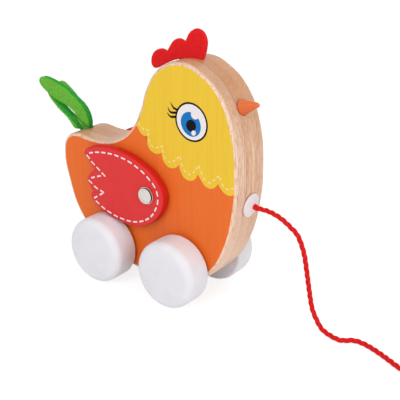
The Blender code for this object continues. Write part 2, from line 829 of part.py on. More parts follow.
def make_cord():
    """The plug in the chest, the cord knotted behind it, the coil in its band and the bead."""
    chest, outward = front_at(PLUG_HEIGHT)
    chest.y = PLUG_SIDE
    head = PLUG_RIM + PLUG_DOME
    dome = [
        (PLUG_HEAD_RADIUS * share, PLUG_RIM + PLUG_DOME * (1 - share**2))
        for share in (0.35, 0.6, 0.8, 0.94)
    ]
    plug_profile = [
        (CORD_BORE, head),
        *dome,
        (PLUG_HEAD_RADIUS, PLUG_RIM),
        (PLUG_HEAD_RADIUS, 0),
        (PLUG_SHANK_RADIUS, 0),
        (PLUG_SHANK_RADIUS, -PLUG_SHANK),
        (CORD_BORE, -PLUG_SHANK),
        (CORD_BORE, head),
    ]
    plug = turned("cord_plug", plug_profile)
    plug.rotation_euler = (0, math.atan2(outward.x, outward.z), 0)
    plug.location = chest + FIT_GAP * outward
    finish(plug, PLASTIC)
    behind = chest + (FIT_GAP - PLUG_SHANK - FIT_GAP) * outward
    barrel("cord_inner_knot", behind - KNOT_LENGTH / 2 * outward, outward)
    coil, bead, forward = coil_points()
    join = coil[0] - FIT_GAP * forward
    anchored = [behind + FIT_GAP * outward, chest + (head + CORD_RADIUS) * outward]
    arriving = [join - 3 * CORD_RADIUS * forward, join]
    route = smooth_rows([anchored[1], *CORD_ROUTE, arriving[0]], 2)
    tube("pull_cord", [anchored[0], *route, arriving[1]], 2)
    tube("cord_coil", coil, 1)
    print("least gap in the coil", round(1000 * least_gap(coil), 2), "mm")
    barrel("cord_end_knot", bead + (BEAD_HALF + FIT_GAP + KNOT_LENGTH / 2) * forward, forward)
    half_arc = math.degrees(math.acos(BEAD_FLAT_RADIUS / BEAD_RADIUS))
    bead_profile = [
        (CORD_BORE, BEAD_HALF),
        *arc((0, 0), BEAD_RADIUS, half_arc, -half_arc, 10),
        (CORD_BORE, -BEAD_HALF),
        (CORD_BORE, BEAD_HALF),
    ]
    ball = turned("pull_bead", bead_profile, SMALL_STEPS)
    ball.rotation_euler = forward.to_track_quat("Z", "Y").to_euler()
    ball.location = bead
    finish(ball, DOWEL)


def make_band():
    """A paper band round all the turns of the coil at one place."""
    outward, forward = coil_frame(BAND_PLACE)
    turned_by = (BAND_PLACE - COIL_START) / (2 * math.pi)
    widest = COIL_OUTER + CORD_RADIUS + COIL_PITCH * max(0, -turned_by)
    narrowest = COIL_OUTER - COIL_PITCH * COIL_TURNS - CORD_RADIUS
    across = widest - narrowest + 2 * (FIT_GAP + BAND)
    tall = COIL_RISE + 2 * CORD_RADIUS + 2 * (FIT_GAP + BAND)
    middle = Vector((*COIL_MIDDLE, 0)) + (widest + narrowest) / 2 * outward
    middle.z = COIL_LIFT + CORD_RADIUS + COIL_RISE / 2
    corner = 2 * CORD_RADIUS / 3
    low = (-across / 2, -tall / 2)
    high = (across / 2, tall / 2)
    loop = []
    for centre_x, centre_z, start in (
        (high[0] - corner, high[1] - corner, 0),
        (low[0] + corner, high[1] - corner, 90),
        (low[0] + corner, low[1] + corner, 180),
        (high[0] - corner, low[1] + corner, 270),
    ):
        loop += list(arc((centre_x, centre_z), corner, start, start + 90, 3))
    mesh = bpy.data.meshes.new("coil_band")
    shell = bmesh.new()
    rims = []
    for shift in (-BAND_WIDTH / 2, BAND_WIDTH / 2):
        rims.append([shell.verts.new((x, shift, z)) for x, z in loop])
    for number in range(len(loop)):
        following = (number + 1) % len(loop)
        shell.faces.new(
            (rims[0][number], rims[1][number], rims[1][following], rims[0][following])
        )
    bmesh.ops.recalc_face_normals(shell, faces=shell.faces)
    shell.to_mesh(mesh)
    shell.free()
    band = bpy.data.objects.new("coil_band", mesh)
    wall = band.modifiers.new("Wall", "SOLIDIFY")
    wall.thickness = BAND
    wall.offset = -1
    band.rotation_euler = (0, 0, BAND_PLACE)
    band.location = middle
    finish(band, PAPER)


clear_scene()
WOOD = material("natural beech", (0.62, 0.41, 0.27), 0.55)
DOWEL = material("beech dowel", (0.66, 0.47, 0.30), 0.6)
WHITE = material("white lacquer", (0.79, 0.79, 0.82), 0.3)
RED = material("red lacquer", (0.70, 0.04, 0.04), 0.38)
ORANGE = material("orange lacquer", (0.82, 0.19, 0.05), 0.4)
STEEL = material("steel", (0.55, 0.55, 0.56), 0.3, 1.0)
NICKEL = material("nickel plate", (0.66, 0.65, 0.62), 0.25, 1.0)
NYLON = material("nylon washer", (0.80, 0.80, 0.78), 0.5)
FELT_RED = material("red felt", (0.72, 0.015, 0.018), 0.95)
FELT_GREEN = material("green felt", (0.15, 0.42, 0.05), 0.95)
PLASTIC = material("white plastic", (0.80, 0.78, 0.79), 0.35)
CORD_RED = material("red cord", (0.75, 0.02, 0.02), 0.85)
PAPER = material("white paper", (0.80, 0.79, 0.76), 0.7)

drill_boards(make_boards())
make_wheelset("front", FRONT_AXLE_X)
make_wheelset("rear", REAR_AXLE_X)
make_wings()
make_comb()
make_beak()
make_tail()
make_cord()
make_band()
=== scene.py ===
"""Looks of the pull-along hen: painted beech boards, red wings, felt comb and tail, red laid cord."""

import json
import math

import bmesh
import bpy
import numpy as np
from mathutils import Matrix, Vector


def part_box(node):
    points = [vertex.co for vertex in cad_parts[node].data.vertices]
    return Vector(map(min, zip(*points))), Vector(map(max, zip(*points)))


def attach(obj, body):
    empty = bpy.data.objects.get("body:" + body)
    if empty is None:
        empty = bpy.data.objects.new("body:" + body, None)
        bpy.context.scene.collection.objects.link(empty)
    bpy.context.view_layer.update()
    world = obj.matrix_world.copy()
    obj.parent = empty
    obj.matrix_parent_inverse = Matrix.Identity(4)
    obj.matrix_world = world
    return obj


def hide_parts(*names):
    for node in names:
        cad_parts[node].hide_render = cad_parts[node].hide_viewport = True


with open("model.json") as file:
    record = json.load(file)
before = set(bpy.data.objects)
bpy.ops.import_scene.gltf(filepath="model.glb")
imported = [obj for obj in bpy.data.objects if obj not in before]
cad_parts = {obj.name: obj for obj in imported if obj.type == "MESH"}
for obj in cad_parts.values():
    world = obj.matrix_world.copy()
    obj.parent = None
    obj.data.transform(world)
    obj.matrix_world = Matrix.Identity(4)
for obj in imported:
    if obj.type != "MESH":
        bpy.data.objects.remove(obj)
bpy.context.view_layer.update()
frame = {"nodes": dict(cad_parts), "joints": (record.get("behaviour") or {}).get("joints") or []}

MM = 0.001

# Camera, at the photograph's viewing angle
CAMERA_PLACE = (0.3584, -0.41412, 0.28060)
CAMERA_AIM = (0.0456, 0.0, 0.0642)
CAMERA_LENS = 79.0
CAMERA_SENSOR = 36.0

# Studio: white paper that bounces light, and glows for the camera with a part that takes shadow;
# a white sky; and soft lamps, each as its name, place, width and power
FLOOR_HALF = 3.0
FLOOR_BOUNCE = (0.93, 0.93, 0.93, 1.0)
FLOOR_SHADE = (0.35, 0.35, 0.35, 1.0)
FLOOR_GLOW = 0.78
WHITE = (1.0, 1.0, 1.0, 1.0)
SKY = 0.58
LAMPS = (
    ("key", (0.30, -1.1, 0.95), 0.9, 6.05),
    ("top", (0.0, 0.0, 1.5), 1.2, 2.6),
    ("front", (1.3, -0.35, 0.55), 0.9, 4.4),
    ("back", (-0.25, 1.2, 0.30), 0.5, 2.6),
)
LAMP_AIM = (0.02, 0.0, 0.08)

# Cord: its diameter, the length of one lay and the steps in it, its strands and the sides they are
# drawn with, how thick they are and how far from the middle, and how it swells in the plug's mouth
CORD = 0.003
CORD_LAY = 0.0135
LAY_STEPS = 16
STRANDS = 3
STRAND_SIDES = 10
STRAND_RADIUS = 0.00082
STRAND_OFFSET = 0.00084
MOUTH_SWELL = 0.3
MOUTH_LENGTH = 0.0014

# Free cord, from the inner knot through the plug, down and along the floor
CORD_EXIT = (0.0862, 0.0015, 0.0694)
CORD_ROUTE = (
    (0.0725, 0.0015, 0.0715),
    (0.0800, 0.0015, 0.0703),
    (0.0874, 0.0015, 0.0693),
    (0.0913, 0.0013, 0.0692),
    (0.0950, 0.0010, 0.0694),
    (0.0988, 0.0007, 0.0692),
    (0.1026, 0.0004, 0.0685),
    (0.1063, 0.0002, 0.0674),
    (0.1100, 0.0, 0.0657),
    (0.1136, 0.0, 0.0634),
    (0.1188, 0.0, 0.0593),
    (0.1234, 0.0, 0.0494),
    (0.1260, 0.0, 0.0378),
    (0.1286, 0.0, 0.0246),
    (0.1312, 0.0, 0.0138),
    (0.1354, 0.0, 0.0062),
    (0.1392, -0.0008, 0.0029),
    (0.1450, -0.0022, 0.0018),
    (0.1533, -0.0036, 0.0018),
    (0.1600, 0.0010, 0.0018),
    (0.1678, 0.0010, 0.0018),
    (0.1786, -0.0026, 0.0018),
    (0.1868, -0.0062, 0.0018),
    (0.1946, -0.0097, 0.0018),
)

# Coil of the spare cord, two layers of two turns with a straight lead, and the bead on its end,
# with the cord's sag on the way to it
COIL_MIDDLE = (0.2154, 0.0043)
COIL_OUTER = 0.0195
COIL_START = math.radians(-108)
COIL_PITCH = 0.0035
COIL_RISE = 0.0035
COIL_LIFT = 0.0009
COIL_TURNS = 2
COIL_POINTS = 24
COIL_CLIMB = 0.5
COIL_LEAD = 0.0045
BEAD_FORWARD = 0.0265
BEAD_RADIUS = 0.010
BEAD_HALF = 0.00893
BEAD_LIFT = 0.0003
SAG = 0.00075
SAG_PLACE = 0.45

# Barrel knot behind the bead: where its cord leaves the bore and its first turn starts, how wide
# its turns are, how fast they open, how far apart they are, how many, in how many steps, its loose end
KNOT_BORE = 0.001
KNOT_START = 0.0026
KNOT_RADIUS = 0.00255
KNOT_OPENING = 2.2
KNOT_PITCH = 0.00206
KNOT_TURNS = 3
KNOT_STEPS = 18
KNOT_TAIL = 0.005

# Print on the body, in millimetres as (x, z), each scallop of the collar from cusp to cusp
COLLAR_EDGE = (
    ((7.0, 110.7), (9.0, 107.2), (11.8, 105.2), (15.3, 105.0)),
    ((15.3, 105.0), (15.2, 100.5), (17.4, 96.6), (22.2, 94.8), (26.8, 96.4)),
    ((26.8, 96.4), (27.9, 91.9), (31.0, 88.6), (35.0, 88.0), (38.2, 89.2), (40.7, 91.5)),
    ((40.7, 91.5), (41.8, 87.7), (44.5, 84.0), (49.2, 82.9), (53.1, 85.0), (55.4, 88.5)),
    ((55.4, 88.5), (57.7, 85.5), (60.8, 82.2), (65.0, 81.4), (68.3, 83.1), (70.5, 86.0)),
    ((70.5, 86.0), (72.8, 83.2), (75.8, 80.8), (79.5, 80.3), (82.0, 81.6)),
)
COLLAR_STITCHES = (
    ((8.2, 113.1), (10.5, 110.3), (13.2, 109.1), (16.9, 109.2)),
    ((16.1, 107.8), (16.8, 102.2), (18.7, 99.6), (22.3, 99.0), (25.6, 99.9), (28.2, 101.4)),
    ((27.8, 98.9), (28.6, 95.7), (30.6, 92.5), (33.9, 91.9), (37.3, 93.7), (40.6, 96.8)),
    ((41.5, 96.9), (43.0, 92.0), (45.3, 88.3), (49.2, 87.0), (52.3, 89.5), (55.2, 93.4)),
    ((55.9, 94.8), (58.2, 89.8), (60.7, 86.3), (64.4, 85.2), (67.5, 87.6), (71.1, 91.3)),
    ((71.7, 90.5), (74.2, 85.9), (76.1, 84.5), (78.5, 84.1), (80.8, 85.2), (82.0, 86.0)),
)
COLLAR_PITCH = 4.1
COLLAR_DASH = (2.2, 0.6)

# Thickness of one film of paint in millimetres, and how round a printed stitch is at its corners
PRINT_LAYER = 0.03
STITCH_ROUND = 0.35

# Eye, as centre (x, z), half axes and turn in degrees
EYE_LINE = ((50.46, 120.99), (11.55, 11.90), 49)
EYE_LINE_WIDTH = 1.2
IRIS = ((50.07, 119.57), (7.33, 7.84), 44)
PUPIL = ((50.32, 118.79), (3.6, 3.9), -44)
IRIS_GLINT = ((53.2, 126.2), (2.9, 2.9), 0)
PUPIL_GLINT = ((52.23, 114.54), (1.53, 1.85), -47)
LASHES = (
    ((34.4, 130.6), (36.1, 128.4), (37.5, 127.3), (40.3, 126.6)),
    ((32.4, 127.2), (33.6, 125.1), (35.3, 124.3), (39.4, 124.9)),
    ((31.8, 123.6), (33.5, 122.1), (35.2, 121.5), (39.2, 122.4)),
)
LASH_WIDTHS = (0.3, 1.05, 1.4, 1.5)

# Stitch line on a wing, in millimetres as (x, z) from the pivot, from corner to corner
WING_STITCHES = (
    (
        (-48.8, 18.2), (-46.9, 18.8), (-41.5, 20.3), (-36.1, 21.2), (-30.3, 21.7), (-24.6, 21.6),
        (-19.0, 20.9), (-13.3, 19.6), (-8.0, 17.7), (-2.9, 15.4), (1.8, 12.2), (6.1, 8.6),
        (8.8, 3.9), (9.4, -1.3), (7.9, -6.6), (5.3, -11.5), (1.5, -15.5), (-3.1, -18.5),
        (-8.4, -20.6), (-13.9, -21.8), (-19.4, -21.9), (-26.0, -21.5), (-32.4, -20.1),
        (-38.0, -18.3), (-43.0, -15.8), (-44.9, -14.8),
    ),
    ((-50.8, 16.9), (-49.9, 15.4), (-45.8, 11.8), (-41.0, 8.7), (-36.9, 6.0), (-35.9, 4.2)),
    ((-39.1, 4.4), (-41.1, 3.6), (-46.2, 1.6), (-47.9, 0.5)),
    ((-50.1, -0.8), (-48.9, -2.3), (-44.1, -5.1), (-38.7, -6.6), (-36.8, -7.1)),
    ((-37.9, -7.7), (-39.9, -9.0), (-44.8, -12.3), (-46.1, -13.6)),
)
WING_PITCH = 5.7
WING_DASH = (3.7, 1.05)
# A wing's face looks along y by more than this share; the rest is its rim, drawn in painted shade
WING_FACE_SHARE = 0.8
LEFT_WING_RAISE = math.radians(4.2)

# Cap on each end of the wing rod, as (radius, height) in millimetres from the wing outwards
CAP_FLANGE = ((2.65, 0.0), (5.75, 0.0), (5.75, 0.25), (5.45, 0.35))
# The side wall is drawn dark grey: a painted dark reflection
CAP_WALL = ((5.45, 0.35), (5.4, 1.25), (5.2, 1.5))
CAP_FACE = (
    (5.2, 1.5), (4.9, 1.6), (4.6, 1.52), (4.4, 1.42), (4.2, 1.55), (3.1, 1.85), (1.6, 2.1), (0, 2.2)
)
CAP_SEAT = ((0, 1.3), (2.65, 1.3), (2.65, 0.0))

# Joints between the boards: the gap, and the glue line's place across the toy and half its width
GLUE_GAP = 0.00015
GLUE_PLACE = -0.00503
GLUE_HALF = 0.0005

# Points closer than this are one point, and a face is flat on a side within these limits
MERGE = 0.000002
FLAT_SHARE = 0.999
FLAT_SLACK = 0.00001

# An edge that bends by more than this stays sharp: on wood and plastic, on a cap, on the cord's ends
SHARP_EDGE = math.radians(50)
SHARP_PRESSED = math.radians(35)
SHARP_CORD = math.radians(60)

# Steps round a turned piece, and between two points of a printed edge, a stitch line and the cord
TURNED_STEPS = 48
PRINT_STEPS = 6
STITCH_STEPS = 8
CORD_STEPS = 4

# Felt: the size of its even mesh in millimetres, and how much and how often its edges are softened
FELT_VOXEL = 0.4
FELT_SOFTENING = 0.5
FELT_PASSES = 3

# Stray fibres: so many on a square metre, their size in millimetres, their bend as start, middle
# and end in shares of their length, how far they lean, and the smallest and largest of them
FIBRE_DENSITY = 3.0e6
FIBRE_LENGTH = 0.9
FIBRE_RADIUS = 0.022
FIBRE_BEND = ((0.0, 0.0, -0.1), (0.1, 0.0, 0.35), (0.75, 0.0, 0.45))
FIBRE_LEAN = 0.5
FIBRE_SMALLEST = 0.5
FIBRE_LARGEST = 1.2

# Felt pieces: node, name, flat cut, area, how it is held, slot, and seed of its fibres
FELT_PIECES = (
    ("comb", "felt_comb", (0.0425, 0.0285), 0.00060, "stretched", "red_felt", 11),
    ("tail_leaf_right", "felt_leaf_right", (0.0125, 0.058), 0.00060, "folded", "green_felt", 12),
    ("tail_leaf_left", "felt_leaf_left", (0.0105, 0.050), 0.00040, "folded", "green_felt", 13),
    ("tail_leaf_rear", "felt_leaf_rear", (0.0105, 0.048), 0.00036, "folded", "green_felt", 14),
)

# A leaf is drawn in painted light where it looks along this way by more than the share, and in painted
# shade elsewhere
LEAF_PAINTED_LIGHT = {
    "tail_leaf_right": (Vector((-0.60, -0.65, -0.46)), 0.35),
    "tail_leaf_left": (Vector((-0.50, -0.60, 0.60)), 0.20),
}

# Rear leaf, in millimetres: its outer edge gets painted light from so far from its middle, along this
# way, and that strip narrows with each millimetre below the foot's height; its inner edge gets painted
# light below that too.
# Its inner side springs out towards the other leaves.
REAR_LEAF_WAY = Vector((-0.49, -0.66, -0.56))
REAR_LEAF_ROW = 2.0
REAR_LEAF_EDGE = 1.5
REAR_LEAF_NARROW = 0.10
REAR_LEAF_FOOT = 101.5
REAR_LEAF_INNER = -0.3
REAR_LEAF_FULL = 0.65

# Fold across the foot of the right leaf, as (x, z) in millimetres, with its width and depth; within
# that width it is drawn in painted shade
LEAF_FOLD = ((-54.8, 100.8), (-48.9, 96.0))
LEAF_FOLD_WIDTH = 0.7
LEAF_FOLD_DEPTH = 0.5

# Front lobe of the comb, in millimetres: it hangs out over its foot by so much at the crown,
# ahead of this x and less towards this height
COMB_HANG = 1.6
COMB_HANG_BEHIND = 43.0
COMB_HANG_TOP = 167.8
CROWN_HEIGHT = 156.3

# Sides of the toy, each with the sign of y on it
SIDES = ((-1, "right"), (1, "left"))


def colour(code, share=1.0):
    """A linear colour from its sRGB hex code, or a share of its strength."""
    parts = [int(code[place:place + 2], 16) / 255 for place in (0, 2, 4)]
    linear = [s / 12.92 if s <= 0.04045 else ((s + 0.055) / 1.055) ** 2.4 for s in parts]
    return (*(part * share for part in linear), 1.0)


def feed(tree, node, values):
    """Sets a node's inputs, each to a value or linked to sockets or to other nodes' first outputs."""
    for name, value in values.items():
        for source in value if isinstance(value, list) else [value]:
            if isinstance(source, bpy.types.Node):
                source = source.outputs[0]
            if isinstance(source, bpy.types.NodeSocket):
                tree.links.new(source, node.inputs[name])
            else:
                node.inputs[name].default_value = source


def add(tree, kind, values=None, stops=(), **settings):
    """Adds a node with its settings, its inputs and links, and a ramp's two (place, colour) stops."""
    node = tree.nodes.new(kind)
    for name, value in settings.items():
        setattr(node, name, value)
    for number, (place, tone) in enumerate(stops):
        node.color_ramp.elements[number].position = place
        node.color_ramp.elements[number].color = tone
    feed(tree, node, values or {})
    return node


def finish_named(name, **values):
    """A new material with its tree and its Principled shader, whose sockets have the given values."""
    made = bpy.data.materials.new(name)
    made.use_nodes = True
    surface = made.node_tree.nodes["Principled BSDF"]
    feed(made.node_tree, surface, {key.replace("_", " "): value for key, value in values.items()})
    return made, made.node_tree, surface


def streaks(tree, shift, size, detail=3.0, rough=0.55):
    """A pattern whose features are so many millimetres long in x, y and z."""
    place = add(tree, "ShaderNodeTexCoord")
    scale = tuple(1 / (length * MM) for length in size)
    spot = {"Vector": place.outputs["Object"], "Location": shift, "Scale": scale}
    scaled = add(tree, "ShaderNodeMapping", spot)
    grain = {"Vector": scaled, "Scale": 1.0, "Detail": detail, "Roughness": rough}
    return add(tree, "ShaderNodeTexNoise", grain)


def show_pattern(tree, surface, pattern, stops, relief, strength, depth):
    """Gives a finish two tones after a pattern, and a relief so many millimetres deep."""
    tones = add(tree, "ShaderNodeValToRGB", {"Fac": pattern}, stops)
    lift = {"Height": relief, "Strength": strength, "Distance": depth * MM}
    feed(tree, surface, {"Base Color": tones, "Normal": add(tree, "ShaderNodeBump", lift)})


def beech(name, pale, deep, top, shift):
    """Sanded beech under clear satin lacquer: long soft lines up the board and short brown flecks.

    Faces that look up are drawn darker and browner, as painted shade on the tops.
    Under the chest it is cut at a slant, smooth and even, and along the rounded edges a pale band is
    drawn as a painted highlight. A brown line of glue shows at the right joint; it is drawn 1 mm wide,
    so that it shows at all.
    """
    made, tree, surface = finish_named(name, Roughness=0.34, Specular_IOR_Level=0.5)
    pale, deep, top = colour(pale), colour(deep), colour(top)
    lines = streaks(tree, shift, (7.0, 1.8, 70.0))
    fine = streaks(tree, shift, (1.8, 0.5, 14.0), 2.0)
    fleck = streaks(tree, shift, (1.3, 0.6, 6.0), 1.0)
    soft = add(tree, "ShaderNodeValToRGB", {"Fac": lines}, ((0.36, deep), (0.62, pale)))
    hair = add(tree, "ShaderNodeValToRGB", {"Fac": fine}, ((0.36, deep), (0.62, pale)))
    tone = add(tree, "ShaderNodeMix", {0: 0.35, 6: soft, 7: hair}, data_type="RGBA")
    place = add(tree, "ShaderNodeTexCoord")
    looks = add(tree, "ShaderNodeSeparateXYZ", {"Vector": place.outputs["Normal"]})
    across = add(tree, "ShaderNodeSeparateXYZ", {"Vector": place.outputs["Object"]})
    # How far a face looks sideways: at the rounded edges it is drawn paler, a painted highlight
    aside = add(tree, "ShaderNodeMath", {0: looks.outputs["Y"]}, operation="ABSOLUTE")
    seam = {0: across.outputs["Y"], 1: GLUE_PLACE, 2: GLUE_HALF}
    joint = add(tree, "ShaderNodeMath", seam, operation="COMPARE")
    even = tuple((a + b) / 2 for a, b in zip(pale, deep))
    rings = add(tree, "ShaderNodeMapRange", {0: fine, 1: 0.3, 2: 0.7, 3: 0.90, 4: 1.08})
    # Painted shade on upward faces, painted highlight on the rounded edges, rings, flecks, glue and
    # the
    # slanted cut: what each goes by, where that starts and is full, how strong it is, and its colour;
    # the rings are everywhere
    layers = (
        # Upward faces take the darker top colour: painted shade
        (looks.outputs["Z"], 0.1, 0.7, 0.9, top, "MIX"),
        # Sideways faces at the rounded edges take a pale painted highlight
        (aside, 0.15, 0.6, 0.4, colour("F4DECE"), "MIX"),
        (1.0, 0.0, 1.0, 1.0, rings, "MULTIPLY"),
        (fleck, 0.54, 0.66, 0.6, colour("C07846"), "MIX"),
        (joint, 0.0, 1.0, 0.35, colour("A06A44"), "MIX"),
        (looks.outputs["Z"], -0.05, -0.45, 0.7, even, "MIX"),
    )
    for measure, low, high, strength, over, blend in layers:
        share = add(tree, "ShaderNodeMapRange", {0: measure, 1: low, 2: high, 3: 0.0, 4: strength})
        both = {0: share, 6: tone.outputs[2], 7: over}
        tone = add(tree, "ShaderNodeMix", both, data_type="RGBA", blend_type=blend)
    bump = add(tree, "ShaderNodeBump", {"Height": fine, "Strength": 0.25, "Distance": 0.04 * MM})
    feed(tree, surface, {"Base Color": tone.outputs[2], "Normal": bump})
    return made


def paint(name, code, depth, level=0.3):
    """Water-based paint rolled on beech: matt, and so thin that the grain shows in fine lines."""
    made, tree, surface = finish_named(name, Roughness=0.55, Specular_IOR_Level=level)
    lines = streaks(tree, (0.3, 0.1, 0.2), (2.4, 2.4, 60.0))
    stops = ((0.35, colour(code, 1 - depth)), (0.62, colour(code)))
    show_pattern(tree, surface, lines, stops, lines, 0.2, 0.02)
    return made


def lacquer(name, code, roughness, level=0.4):
    """Sprayed lacquer, moulded plastic or smooth paper: even in colour, and its skin is a little
    uneven, so a highlight is soft and slightly broken.
    """
    made, tree, surface = finish_named(name, Roughness=roughness, Specular_IOR_Level=level)
    peel = streaks(tree, (0.05, 0.0, 0.0), (1.5, 1.5, 1.5), 1.0)
    cloud = streaks(tree, (0.0, 0.4, 0.0), (9.0, 9.0, 9.0), 1.0)
    stops = ((0.3, colour(code, 0.96)), (0.6, colour(code)))
    show_pattern(tree, surface, cloud, stops, peel, 0.1, 0.01)
    return made


def felt(name, pale, deep):
    """Pressed wool felt: matt and mottled by its tangled fibres, with a soft bloom at the edges."""
    made, tree, surface = finish_named(
        name, Roughness=0.95, Specular_IOR_Level=0.15, Sheen_Weight=0.08, Sheen_Roughness=0.5
    )
    mottle = streaks(tree, (0.0, 0.0, 0.0), (1.3, 1.3, 1.3), 4.0, 0.7)
    tangle = streaks(tree, (0.2, 0.0, 0.0), (0.3, 0.3, 0.3), 2.0, 0.6)
    stops = ((0.36, colour(deep)), (0.62, colour(pale)))
    show_pattern(tree, surface, mottle, stops, tangle, 0.6, 0.2)
    return made


def twisted_cotton():
    """Loosely twisted cotton yarn: matt, with fibres that run a little askew along each strand."""
    made, tree, surface = finish_named(
        "twisted red cotton",
        Roughness=0.9,
        Specular_IOR_Level=0.15,
        Sheen_Weight=0.03,
        Sheen_Roughness=0.4,
    )
    lay = add(tree, "ShaderNodeUVMap", uv_map="UVMap")
    askew = {"Vector": lay, "Rotation": (0.0, 0.0, 0.25), "Scale": (700.0, 14.0, 1.0)}
    skewed = add(tree, "ShaderNodeMapping", askew)
    grain = {"Vector": skewed, "Scale": 1.0, "Detail": 3.0, "Roughness": 0.6}
    yarn = add(tree, "ShaderNodeTexNoise", grain)
    stops = ((0.35, colour("C8141A")), (0.62, colour("EA2420")))
    show_pattern(tree, surface, yarn, stops, yarn, 0.7, 0.15)
    return made


def plated(name, code, roughness):
    """Metal with fine marks all ways, from the tumbling barrel or the draw, so its gloss is uneven."""
    made, tree, surface = finish_named(name, Metallic=1.0, Base_Color=colour(code))
    marks = streaks(tree, (0.0, 0.0, 0.0), (0.8, 0.8, 0.8), 3.0)
    span = {0: marks, 1: 0.3, 2: 0.7, 3: roughness - 0.05, 4: roughness + 0.08}
    feed(tree, surface, {"Roughness": add(tree, "ShaderNodeMapRange", span)})
    return made


def make_finishes():
    """Every finish on the toy, by the name that the pieces know it by."""
    return {
        # The fourth colour of each beech is the painted shade on its upward faces
        "near": beech("sanded beech, near board", "ECCCB2", "DBAE8C", "CB9C78", (0, 0, 0)),
        "core": beech("sanded beech, core board", "E9C7A6", "D29C74", "C3885A", (0.11, 0.3, 0.02)),
        "far": beech("sanded beech, far board", "E4C0A0", "CE946C", "CA9469", (0.27, 0.1, 0.3)),
        "dowel": beech("turned beech", "E8C8A4", "D4A67E", "D8AE86", (0.4, 0.2, 0.1)),
        "orange": paint("orange paint", "EA6C20", 0.05),
        "yellow": paint("yellow paint", "EDC330", 0.05),
        "black": paint("black print", "0C080B", 0.0, 0.1),
        "white": paint("white print", "EBE4E6", 0.01),
        "blue": paint("blue print", "0E74BE", 0.03, 0.15),
        "cream": paint("cream print", "FBE2B0", 0.01),
        # Sprayed satin lacquer hides the grain: even colours with wide, soft highlights
        "wheel": lacquer("white satin lacquer", "E5E4EA", 0.45, 0.3),
        "wing": lacquer("red satin lacquer", "DC2424", 0.42, 0.35),
        # The wing's rim is matt, and its darker red is painted shade
        "wing_rim_painted_shade": paint("red rim paint with painted shade", "CC221A", 0.03, 0.08),
        "beak": lacquer("orange satin lacquer", "DC6826", 0.2),
        # Moulded plastic is smooth and even, and calendered paper is even but matt
        "plug": lacquer("moulded polypropylene", "E9DFE1", 0.4, 0.3),
        "nylon": lacquer("moulded nylon", "EDEBE6", 0.5),
        "paper": lacquer("wrapping paper", "ECE8E0", 0.8, 0.2),
        "red_felt": felt("red wool felt", "EC2022", "DB161C"),
        # The tail's green felt is drawn twice: in painted light and in painted shade
        "felt_painted_light": felt("green wool felt in painted light", "74C03E", "5EAA34"),
        "felt_painted_shade": felt("green wool felt in painted shade", "2CA93A", "1E9630"),
        "cotton": twisted_cotton(),
        # Cotton pulled tight in a knot is as matt and mottled as felt
        "knot": felt("knotted red cotton", "E02327", "C4151B"),
        # Nickel from the barrel is bright; the cap's side wall is drawn dull dark grey as a painted
        # dark reflection; drawn steel lies between
        "nickel": plated("nickel plate", "D6D2CB", 0.34),
        "edge": plated("steel edge with painted dark reflection", "4A4543", 0.45),
        "steel": plated("drawn steel", "B9B9BA", 0.35),
    }


def put(name, data):
    """A new object in the scene."""
    made = bpy.data.objects.new(name, data)
    bpy.context.scene.collection.objects.link(made)
    return made


def aimed(name, data, place, target):
    """A new camera or lamp at its place, turned to look at a point."""
    made = put(name, data)
    made.location = place
    way = Vector(target) - Vector(place)
    made.rotation_euler = way.to_track_quat("-Z", "Y").to_euler()
    return made


def make_camera():
    """The camera at the photograph's viewing angle."""
    data = bpy.data.cameras.new("camera")
    data.lens = CAMERA_LENS
    data.sensor_width = CAMERA_SENSOR
    bpy.context.scene.camera = aimed("camera", data, CAMERA_PLACE, CAMERA_AIM)


def backdrop_ray(tree):
    """1 for a ray that sees the white backdrop: from the camera or from a shiny surface."""
    ray = add(tree, "ShaderNodeLightPath").outputs
    seen = {0: ray["Is Camera Ray"], 1: ray["Is Glossy Ray"]}
    return add(tree, "ShaderNodeMath", seen, operation="MAXIMUM")


def make_floor():
    """A floor of white paper that keeps a faint shadow."""
    mesh = bpy.data.meshes.new("floor")
    half = FLOOR_HALF
    corners = [(-half, -half, 0), (half, -half, 0), (half, half, 0), (-half, half, 0)]
    mesh.from_pydata(corners, [], [(0, 1, 2, 3)])
    floor = put("floor", mesh)
    made, tree, surface = finish_named(
        "white backdrop paper", Roughness=0.9, Specular_IOR_Level=0.0, Base_Color=FLOOR_BOUNCE
    )
    shaded = add(tree, "ShaderNodeBsdfDiffuse", {"Color": FLOOR_SHADE})
    glow = add(tree, "ShaderNodeEmission", {"Color": WHITE, "Strength": FLOOR_GLOW})
    both = add(tree, "ShaderNodeAddShader", {0: shaded, 1: glow})
    mixed = add(tree, "ShaderNodeMixShader", {0: backdrop_ray(tree), 1: surface, 2: both})
    feed(tree, tree.nodes["Material Output"], {"Surface": mixed})
    mesh.materials.append(made)


def make_light():
    """Soft studio light: a white sky and large lamps."""
    world = bpy.data.worlds.new("studio")
    bpy.context.scene.world = world
    world.use_nodes = True
    tree = world.node_tree
    plain = tree.nodes["Background"]
    feed(tree, plain, {"Color": WHITE, "Strength": SKY})
    white = add(tree, "ShaderNodeBackground", {"Color": WHITE, "Strength": 1.0})
    mixed = add(tree, "ShaderNodeMixShader", {0: backdrop_ray(tree), 1: plain, 2: white})
    feed(tree, tree.nodes["World Output"], {"Surface": mixed})
    for name, place, width, power in LAMPS:
        data = bpy.data.lights.new(name, "AREA")
        data.shape = "DISK"
        data.size = width
        data.energy = power
        aimed(name, data, place, LAMP_AIM)


def new_piece(name, mesh, body, slot, *nodes):
    """A finished piece: the body it rides on and the nodes it stands for; its slot is not used."""
    mesh.name = name
    piece = put(name, mesh)
    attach(piece, body)
    if nodes:
        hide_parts(*nodes)
    return piece


